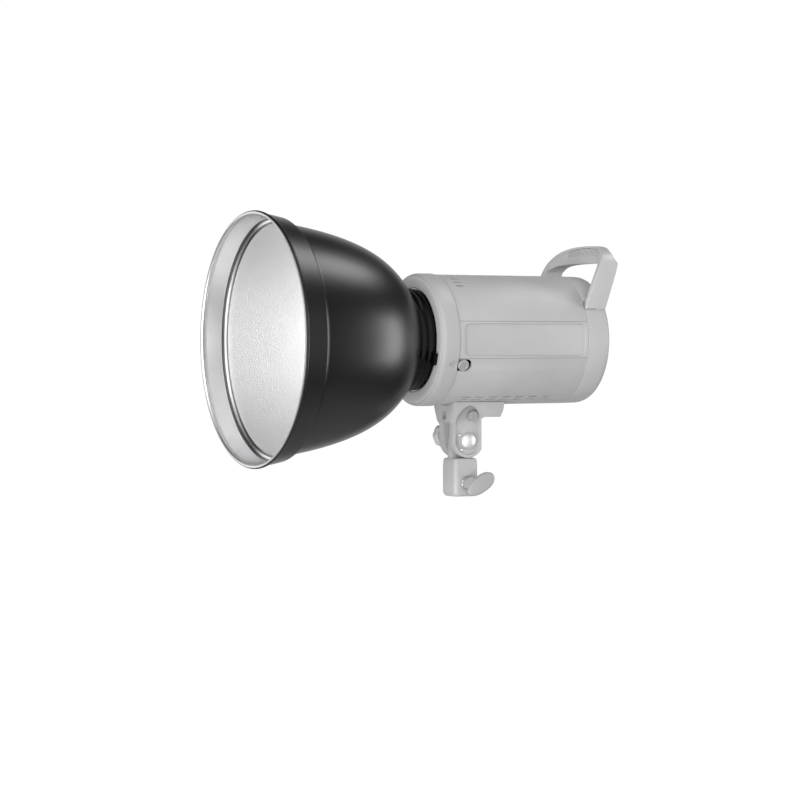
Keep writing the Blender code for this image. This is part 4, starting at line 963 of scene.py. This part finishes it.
def panel_fittings():
    """Display, mains inlet, fuse, sync jack and slave sensor."""
    glass = rounded_rectangle(*DISPLAY, 0.001, 4)
    piece("display_glass", prism(glass, 0.1768, 0.1795), "window", "display_window", bevel=0.0003)
    module = rectangle(*grown(DISPLAY, 0.002))
    piece("display_unit", prism(module, 0.17, SCREEN_REAR), "screen", "display_module", bevel=0.0003)
    point = (-0.0017, -0.0006, DIGIT_FOOT, DIGIT_FOOT + DIGIT_BAR)
    lit = digit("5", -0.012) + digit("0", 0.002) + [on_screen(point)]
    piece("display_digits", merged(lit), "lit")

    corners = rounded_rectangle(-INLET_HALF[0], INLET_HALF[0], -INLET_HALF[1], INLET_HALF[1], 0.002, 6)
    recess = [(-0.012, -0.0082), (0.012, -0.0082), (0.012, 0.004)]
    recess += [(0.0078, 0.0082), (-0.0078, 0.0082), (-0.012, 0.004)]
    pins = {"left": (0.007, 0.0), "right": (-0.007, 0.0), "earth": (0.0, 0.0035)}
    seats = []
    for across, up in pins.values():
        slot = rectangle(across - 0.0013, across + 0.0013, up - 0.0023, up + 0.0023)
        seats.append(prism(slot, 0.1645, 0.17, panel_point(INLET)))
    piece("mains_inlet", prism(corners, 0.163, 0.1812, panel_point(INLET)), "dark", "power_inlet",
          cuts=[prism(recess, 0.1675, 0.184, panel_point(INLET))] + seats, bevel=0.0003,
          bevel_steps=2)
    for name, (across, up) in pins.items():
        blade = rectangle(across - 0.001, across + 0.001, up - 0.002, up + 0.002)
        piece(f"mains_pin_{name}", prism(blade, 0.1648, 0.1785, panel_point(INLET)), "brass",
              f"inlet_pin_{name}", bevel=0.0003)

    fuse = [(0.165, 0), (0.165, 0.0055), (0.1793, 0.0055), (0.1793, 0.0063), (0.1797, 0.0066)]
    fuse += [(0.1834, 0.0063), (0.184, 0.0057), (0.184, 0)]
    slot = prism(rectangle(-0.004, 0.004, -0.0007, 0.0007), 0.1828, 0.185, panel_point(FUSE))
    piece("fuse_holder", turned(fuse, panel_point(FUSE), steps=MEDIUM), "dark", "fuse_cap", cuts=[slot])
    jack = [(0.17, 0), (0.17, 0.0045), (0.1808, 0.0045), (0.1812, 0.0041), (0.1812, 0.002), (0.181, 0.0018)]
    jack += [(0.173, 0.0018), (0.173, 0)]
    piece("sync_socket", turned(jack, panel_point(SYNC), steps=MEDIUM), "steel", "sync_jack")
    dome = [(0.174, 0), (0.174, 0.005), (0.1806, 0.005)]
    dome += arc_points((0.1812, 0.0), 0.005, 86, 2, 12) + [(0.1862, 0)]
    piece("sensor_dome", turned(dome, panel_point(SENSOR), steps=MEDIUM), "red", "slave_sensor")


def controls():
    """Fluted dial, four keys and the mains rocker."""
    outline = [(0.17, 0), (0.17, 0.003), (0.1794, 0.003), (0.1794, DIAL_RADIUS - 0.0004)]
    outline += [(0.1798, DIAL_RADIUS), (0.188, DIAL_RADIUS - 0.0006)]
    outline += [(0.1892, DIAL_RADIUS - 0.0012), (0.1898, DIAL_RADIUS - 0.0024), (0.1898, 0.01)]
    outline += [(0.1893, 0.009), (0.1893, 0)]
    flutes = []
    for angle in full_turn(30):
        place = (DIAL[0] + 0.0144 * cos(angle), DIAL[1] + 0.0144 * sin(angle))
        flutes.append(rod(0.00085, 0.1805, 0.19, panel_point(place), steps=12))
    dent = ellipsoid(panel_point((DIAL[0], DIAL[1] + 0.0062), 0.1903), (0.002, 0.0016, 0.002), 12)
    piece("dial_knob", turned(outline, panel_point(DIAL), steps=120), "dark", "control_dial",
          body="control_dial", cuts=[merged(flutes), dent])

    for name, place in BUTTONS.items():
        key = prism(widened(BUTTON_HALF, 0, 0.0009), 0.1745, 0.1812, panel_point(place))
        flange = prism(widened(BUTTON_HALF, 0.001, 0.0009), 0.173, 0.1756, panel_point(place))
        piece(name.replace("button", "key"), key, "dark", name, body=name, adds=[flange], bevel=0.0004)

    tilt = radians(7)
    half = ROCKER_HALF[1]
    side = [(-0.0035, -0.003), (-0.0035, 0.003), (0.0005, half), (0.0068, half - 0.0004), (0.0057, 0.003)]
    side += [(0.005, 0.0), (0.0057, -0.003), (0.0068, -half + 0.0004), (0.0005, -half)]
    turned_side = []
    for back, up in side:
        moved_back = back * cos(tilt) - up * sin(tilt)
        moved_up = back * sin(tilt) + up * cos(tilt)
        turned_side.append((moved_back, moved_up))
    rocker = prism(turned_side, -ROCKER_HALF[0], ROCKER_HALF[0], panel_point(ROCKER, ROCKER_PIVOT_BACK), "X")
    piece("mains_rocker", rocker, "dark", "power_rocker", body="power_rocker", bevel=0.0004)


# --- Tilting bracket ---

TILT_Y = 0.0015
TILT_Z = 0.0547
EAR_FRONT = 0.0167
EAR_REAR = 0.0146
EAR_OUT = 0.0148
EAR_FLOOR = 0.013
EAR_RIM = 0.0028
EAR_IN = 0.0065
BOLT_RADIUS = 0.0038
BOLT_BORE = 0.0041
KNOB_RISE = 0.004      # middle of the knob above the tilt axis
HEAD_HALF_WIDTH = 0.021
HEAD_FRONT = -0.018
HEAD_REAR = 0.038
HEAD_BOTTOM = 0.078
UMBRELLA_Z = 0.0796
UMBRELLA_BORE = 0.0043
UMBRELLA_SCREW_Y = 0.0047
COLUMN_HALF_X = 0.0143
COLUMN_HALF_Y = 0.0133
COLUMN_TOP = 0.0375
TONGUE_RADIUS = 0.013
LEVER_Z = 0.0133
LEAF_HALF_LENGTH = 0.0165
LEAF_HALF_WIDTH = 0.0082
LEAF_LEAN = radians(33)
LEAF_MIDDLE = (0.0095, -0.001)     # middle of the leaf: behind and above the screw axis
TILT_AXIS = (0, TILT_Y, TILT_Z)
STOP_PINS = {"stop_pin_upper": (-0.0073, 0.0604), "stop_pin_lower": (-0.005, 0.0457)}


def ear_outline(inset, top, steps=48):
    """Side view of an ear: straight sides and a round bottom about the tilt axis."""
    radius = EAR_FRONT - inset
    rear = EAR_REAR - inset
    start = acos(rear / radius)
    points = [(rear, top), (-radius, top)]
    for step in range(steps + 1):
        angle = pi + (pi - start) * step / steps
        points.append((radius * cos(angle), radius * sin(angle)))
    return points


def pocket_outline(steps=24):
    """Side view of the hollow in an ear: the ear's own outline, closed by a half oval on top."""
    foot = 0.016
    points = ear_outline(EAR_RIM, foot)
    middle = (EAR_REAR - EAR_FRONT) / 2
    reach = (EAR_REAR + EAR_FRONT) / 2 - EAR_RIM
    for step in range(1, steps):
        angle = pi * step / steps
        points.insert(step, (middle + reach * cos(angle), foot + 0.019 * sin(angle)))
    return points


def bracket_head():
    """Cast head under the casing: two ears, side pockets and the umbrella hole."""
    block_side = [
        (HEAD_FRONT, 0.0745),
        (HEAD_FRONT, 0.098),
        (HEAD_REAR, 0.098),
        (HEAD_REAR, 0.084),
        (HEAD_REAR - 0.0015, HEAD_BOTTOM),
        (0.0185, HEAD_BOTTOM),
        (TILT_Y + EAR_REAR - 0.001, 0.076),
        (TILT_Y + EAR_REAR - 0.001, 0.069),
        (TILT_Y - EAR_FRONT + 0.001, 0.069),
    ]
    head = as_object("head", prism(block_side, -HEAD_HALF_WIDTH, HEAD_HALF_WIDTH, (0, 0, 0), "X"))
    right = [(EAR_OUT - 0.0004, 0.06), (EAR_OUT - 0.0004, 0.074), (HEAD_HALF_WIDTH, 0.0885)]
    right.append((HEAD_HALF_WIDTH, 0.1))
    front_view = [(-across, up) for across, up in reversed(right)] + right
    combine(head, prism(front_view, -0.03, 0.06, (0, 0, 0)), "INTERSECT")
    ears = prism(ear_outline(0.0, HEAD_BOTTOM + 0.004 - TILT_Z), -EAR_OUT, EAR_OUT, TILT_AXIS, "X")
    saddle = rod(CASE_RADIUS_FRONT + GAP, -0.01, 0.2, steps=360)
    mouth = prism(rectangle(-0.03, 0.03, -0.03, 0.0185), -EAR_IN, EAR_IN, TILT_AXIS, "X")
    bores = [
        rod(UMBRELLA_BORE, -0.04, 0.06, (0, 0, UMBRELLA_Z)),
        rod(BOLT_BORE, -0.03, 0.03, TILT_AXIS, "X"),
        rod(0.0028, 0.0, 0.03, (0, UMBRELLA_SCREW_Y, UMBRELLA_Z), "X"),
    ]
    pockets = []
    for side in (-1, 1):
        ends = sorted((side * EAR_FLOOR, side * 0.03))
        pockets.append(prism(pocket_outline(), ends[0], ends[1], TILT_AXIS, "X"))
    for place in STOP_PINS.values():
        pockets.append(rod(0.0018, 0.008, 0.015, (0, *place), "X", 32))
    piece("tilt_head", shape_of(head), "bracket", "bracket_head", adds=[ears],
          cuts=[saddle, mouth] + bores + pockets, bevel=0.0009)


def tilt_hardware():
    """Domed bolt through the ears, brass friction discs and the two stop pins."""
    dome = [(-0.033, 0), (-0.033, BOLT_RADIUS), (EAR_FLOOR + GAP, BOLT_RADIUS), (EAR_FLOOR + GAP, 0.0077)]
    dome += [(EAR_FLOOR + 0.0006, 0.008), (EAR_FLOOR + 0.0016, 0.008)]
    for step in range(1, 17):
        angle = pi / 2 * step / 16
        dome.append((EAR_FLOOR + 0.0016 + 0.0044 * sin(angle), 0.0079 * cos(angle) if step < 16 else 0))
    piece("domed_bolt", turned(dome, TILT_AXIS, "X", MEDIUM), "chrome", "tilt_bolt")
    for side, low in (("left", 0.0048), ("right", -0.0062)):
        disc = [(low, BOLT_BORE), (low, 0.0115), (low + 0.0014, 0.0115), (low + 0.0014, BOLT_BORE)]
        piece(f"brass_disc_{side}", turned(disc, TILT_AXIS, "X", 96), "brass", f"friction_disc_{side}",
              bevel=0.0002, bevel_steps=2)
    for name, place in STOP_PINS.items():
        pin = [(0.0085, 0), (0.0085, 0.0015), (0.0136, 0.0015), (0.014, 0.0011), (0.014, 0)]
        piece(name.replace("stop", "steel"), turned(pin, (0, *place), "X", 32), "chrome", name)


def tilt_knob():
    """Scalloped knob set off the axis for leverage, with a domed end; its skirt reaches the ear."""
    profile = [(-0.0425, 0.0056), (-0.0424, 0.0066), (-0.042, 0.0077), (-0.0413, 0.009), (-0.0403, 0.0103),
               (-0.0391, 0.0113), (-0.0377, 0.0119), (-0.0362, 0.0121), (-0.0304, 0.0121), (-0.0297, 0.0119),
               (-0.0291, 0.0112), (-0.029, 0.0103)]
    sections = []
    for distance, radius in profile:
        outline = []
        for angle in full_turn(192):
            reach = radius + 0.0004 * cos(8 * angle) * min(1.0, (radius - 0.0056) / 0.006)
            outline.append((reach * cos(angle), KNOB_RISE + reach * sin(angle)))
        sections.append((distance, outline))
    skirt = [(-0.03, 0), (-0.03, 0.0078), (-EAR_FLOOR - GAP - 0.0005, 0.0078)]
    skirt += [(-EAR_FLOOR - GAP, 0.0073), (-EAR_FLOOR - GAP, 0)]
    bore = rod(BOLT_BORE, -0.0335, 0.0, TILT_AXIS, "X")
    face = rod(0.0046, -0.044, -0.0419, (0, TILT_Y, TILT_Z + KNOB_RISE), "X")
    # the knob's lightened grey is painted light
    piece("round_knob", lofted(sections, TILT_AXIS, "X"), "knob", "tilt_knob", body="tilt_knob",
          adds=[turned(skirt, TILT_AXIS, "X", MEDIUM)], cuts=[bore, face])


def umbrella_screw():
    """Knurled clamp screw that reaches into the umbrella hole."""
    outline = [(UMBRELLA_BORE + 0.0004, 0), (UMBRELLA_BORE + 0.0004, 0.0025), (EAR_FLOOR + GAP, 0.0025)]
    outline += [(EAR_FLOOR + GAP, 0.0042), (EAR_FLOOR + 0.0007, 0.0046), (0.0196, 0.0046), (0.0202, 0.0042)]
    outline += [(0.0204, 0.0034), (0.0204, 0.0022), (0.02, 0.0018), (0.02, 0)]
    place = Vector((0, UMBRELLA_SCREW_Y, UMBRELLA_Z))
    grooves = []
    for angle in full_turn(20):
        offset = Vector((0, cos(angle), sin(angle))) * 0.00475
        grooves.append(rod(0.00035, 0.014, 0.0196, place + offset, "X", 8))
    piece("clamp_screw", turned(outline, place, "X", MEDIUM), "screw", "umbrella_screw",
          body="umbrella_screw", cuts=[merged(grooves)])


# --- Stand socket ---

def stand_adapter():
    """Square socket column with a round tongue between the ears."""
    profile = [(0.0, 0.0026), (0.0005, 0.0018), (0.0012, 0.0011), (0.0028, 0.0004), (0.006, 0.0),
               (0.03, 0.0), (0.0345, 0.0003), (0.0365, 0.0007), (COLUMN_TOP, 0.0014)]
    sections = []
    for height, inset in profile:
        half_x = COLUMN_HALF_X - inset
        half_y = COLUMN_HALF_Y - inset
        sections.append((height, rounded_rectangle(-half_x, half_x, -half_y, half_y, 0.0045, 12)))
    tongue = []
    for step in range(49):
        angle = pi * step / 48
        tongue.append((TONGUE_RADIUS * cos(angle), TONGUE_RADIUS * sin(angle)))
    foot = COLUMN_TOP - TILT_Z - 0.001
    tongue += [(-TONGUE_RADIUS, foot), (COLUMN_HALF_Y - TILT_Y - 0.0016, foot)]
    bolt = rod(BOLT_BORE, -0.03, 0.03, TILT_AXIS, "X")
    bore = rod(0.00805, -0.01, 0.033, (0, 0, 0), "Z", 96)
    screw = rod(0.0033, 0.0, 0.03, (0, 0, LEVER_Z), "X")
    piece("socket_column", lofted(sections, (0, 0, 0), "Z"), "bracket", "stand_adapter", body="stand",
          adds=[prism(tongue, -0.0045, 0.0045, TILT_AXIS, "X")], cuts=[bolt, bore, screw], bevel=0.0006)


def leaf_outline(inset, steps=96):
    """Side view of the lever: a leaf that leans up towards the back of the strobe."""
    points = []
    reach = LEAF_HALF_LENGTH - inset
    for angle in full_turn(steps):
        along = reach * copysign(abs(cos(angle)) ** 0.86, cos(angle))
        across = (LEAF_HALF_WIDTH - inset) * sin(angle) * (1 + 0.1 * cos(angle))
        back = LEAF_MIDDLE[0] + along * cos(LEAF_LEAN) - across * sin(LEAF_LEAN)
        up = LEAF_MIDDLE[1] + along * sin(LEAF_LEAN) + across * cos(LEAF_LEAN)
        points.append((back, up))
    return points


def stand_lever():
    """Leaf lever on its plated collar and clamp screw."""
    place = (0, 0, LEVER_Z)
    face = COLUMN_HALF_X
    stud = [(0.0084, 0), (0.0084, 0.0026), (0.0088, 0.003), (face + 0.006, 0.003), (face + 0.006, 0)]
    piece("clamp_stud", turned(stud, place, "X", MEDIUM), "steel", "stand_lock_screw", body="stand_lever")
    collar = [(face + GAP, 0.0034), (face + GAP, 0.0065), (face + GAP + 0.0003, 0.0068)]
    collar += [(face + 0.0023, 0.0068), (face + 0.0026, 0.0065), (face + 0.0026, 0.0034)]
    piece("clamp_collar", turned(collar, place, "X", MEDIUM), "steel", "stand_lock_collar",
          body="stand_lever")
    hub = rod(0.0062, face + 0.0029, face + 0.0105, place, "X")
    profile = [(0.008, 0.0014), (0.0083, 0.0006), (0.0089, 0.0), (0.0124, 0.0), (0.0134, 0.0007)]
    profile += [(0.0139, 0.0016), (0.0142, 0.0028)]
    sections = [(face + distance, leaf_outline(inset)) for distance, inset in profile]
    seat = rod(0.0033, 0.0, face + 0.0063, place, "X")
    piece("leaf_lever", hub, "lever", "stand_lock_lever", body="stand_lever",
          adds=[lofted(sections, place, "X")], cuts=[seat], bevel=0.0005)


# --- Inside the casing ---

def inside():
    """The frame's own shapes stand for the hidden parts; they only get their finishes."""
    finishes = {
        "fan_frame": "dark",
        "fan_rotor": "dark",
        "chassis_plate": "steel",
        "circuit_board": "board",
        "capacitor_left": "sleeve",
        "capacitor_right": "sleeve",
        "transformer": "core",
    }
    for node, key in finishes.items():
        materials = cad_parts[node].data.materials
        for number in range(len(materials)):
            materials[number] = MATERIALS[key]


# --- Stage, light and camera ---

def area_light(name, place, aim, size, power):
    """Soft box that faces its aim."""
    data = bpy.data.lights.new(name, "AREA")
    data.shape = "RECTANGLE"
    data.size = size[0]
    data.size_y = size[1]
    data.energy = power
    light = bpy.data.objects.new(name, data)
    bpy.context.scene.collection.objects.link(light)
    light.location = place
    light.rotation_mode = "QUATERNION"
    light.rotation_quaternion = (Vector(aim) - Vector(place)).to_track_quat("-Z", "Y")


FILL_SIDE = Vector((0.7, -0.7, 0.05)).normalized()


def glow(tree, direction, centre, edges, levels):
    """Brightness that rises smoothly towards one direction of the surround."""
    facing = add(tree, "VectorMath")
    facing.operation = "DOT_PRODUCT"
    tree.links.new(direction, facing.inputs[0])
    facing.inputs[1].default_value = centre
    level = add(tree, "MapRange")
    level.interpolation_type = "SMOOTHSTEP"
    ends = {"From_Min": edges[0], "From_Max": edges[1], "To_Min": levels[0], "To_Max": levels[1]}
    fill(tree, level, Value=facing.outputs["Value"], **ends)
    return level.outputs["Result"]


def stage():
    """Pale floor under a pale surround that is brightest behind the strobe."""
    material, tree, shader = new_material("studio_floor", (0.66, 0.66, 0.66), 0.9)
    tint = two_colours(tree, noise(tree, 2, 2), (0.65, 0.65, 0.65), (0.67, 0.67, 0.67))
    fill(tree, shader, Base_Color=tint)
    bm = bmesh.new()
    bmesh.ops.create_circle(bm, cap_ends=True, segments=96, radius=3.0)
    floor = as_object("floor", bm)
    floor.location.z = -2.0
    floor.data.materials.append(material)

    world = bpy.data.worlds.new("studio")
    world.use_nodes = True
    tree = world.node_tree
    direction = add(tree, "TexCoord").outputs["Generated"]
    total = add(tree, "Math")
    total.operation = "ADD"
    lobes = [(-CAMERA_SIDE, (0.8, 0.985), (0.0, 0.98)), (FILL_SIDE, (0.15, 0.72), (0.04, 1.22))]
    for socket, (centre, edges, levels) in zip(total.inputs, lobes):
        tree.links.new(glow(tree, direction, centre, edges, levels), socket)
    fill(tree, tree.nodes["Background"], Color=(1.0, 1.0, 1.0, 1.0), Strength=total.outputs["Value"])
    bpy.context.scene.world = world


def lights():
    """Large soft boxes: two in front, one overhead, one behind the strobe, one beyond the reflector."""
    centre = Vector(STROBE_AXIS)
    boxes = {
        "upper": ((0.45, -0.8, 0.38), 2.6, (1.6, 1.2), 30),
        "lower": ((0.5, -0.78, -0.42), 2.6, (1.6, 1.2), 30),
        "top": ((0.04, 0.61, 0.79), 2.4, (0.9, 0.9), 17),
        "rear": ((0.34, 0.94, 0.0), 2.6, (0.8, 1.6), 34),
        "far": ((-0.89, -0.45, 0.0), 2.6, (0.7, 2.4), 8),
    }
    for name, (direction, distance, size, power) in boxes.items():
        area_light(name, centre + Vector(direction).normalized() * distance, centre, size, power)


CAMERA_DISTANCE = 3.13
CAMERA_SHIFT = 0.0123           # towards the front of the strobe
CAMERA_DROP = radians(1.078)    # how far it looks down


def camera():
    """Long lens at the height of the optical axis, looking a little down."""
    right = CAMERA_SIDE.cross(Vector((0, 0, -1)))
    data = bpy.data.cameras.new("camera")
    data.lens = 144
    data.sensor_width = 36
    data.clip_end = 60
    view = bpy.data.objects.new("camera", data)
    bpy.context.scene.collection.objects.link(view)
    view.location = Vector(STROBE_AXIS) - right * CAMERA_SHIFT + CAMERA_SIDE * CAMERA_DISTANCE
    look = Vector((0, 0, -tan(CAMERA_DROP))) - CAMERA_SIDE
    view.rotation_mode = "QUATERNION"
    view.rotation_quaternion = look.to_track_quat("-Z", "Y")
    bpy.context.scene.camera = view


camera()
stage()
lights()
reflector()
bayonet_ring()
front_bumper()
bayonet_socket()
catch()
lamps()
casing()
rear_ring()
handle()
rear_panel()
panel_fittings()
controls()
bracket_head()
tilt_hardware()
tilt_knob()
umbrella_screw()
stand_adapter()
stand_lever()
inside()

bpy.context.scene.view_settings.view_transform = "Standard"
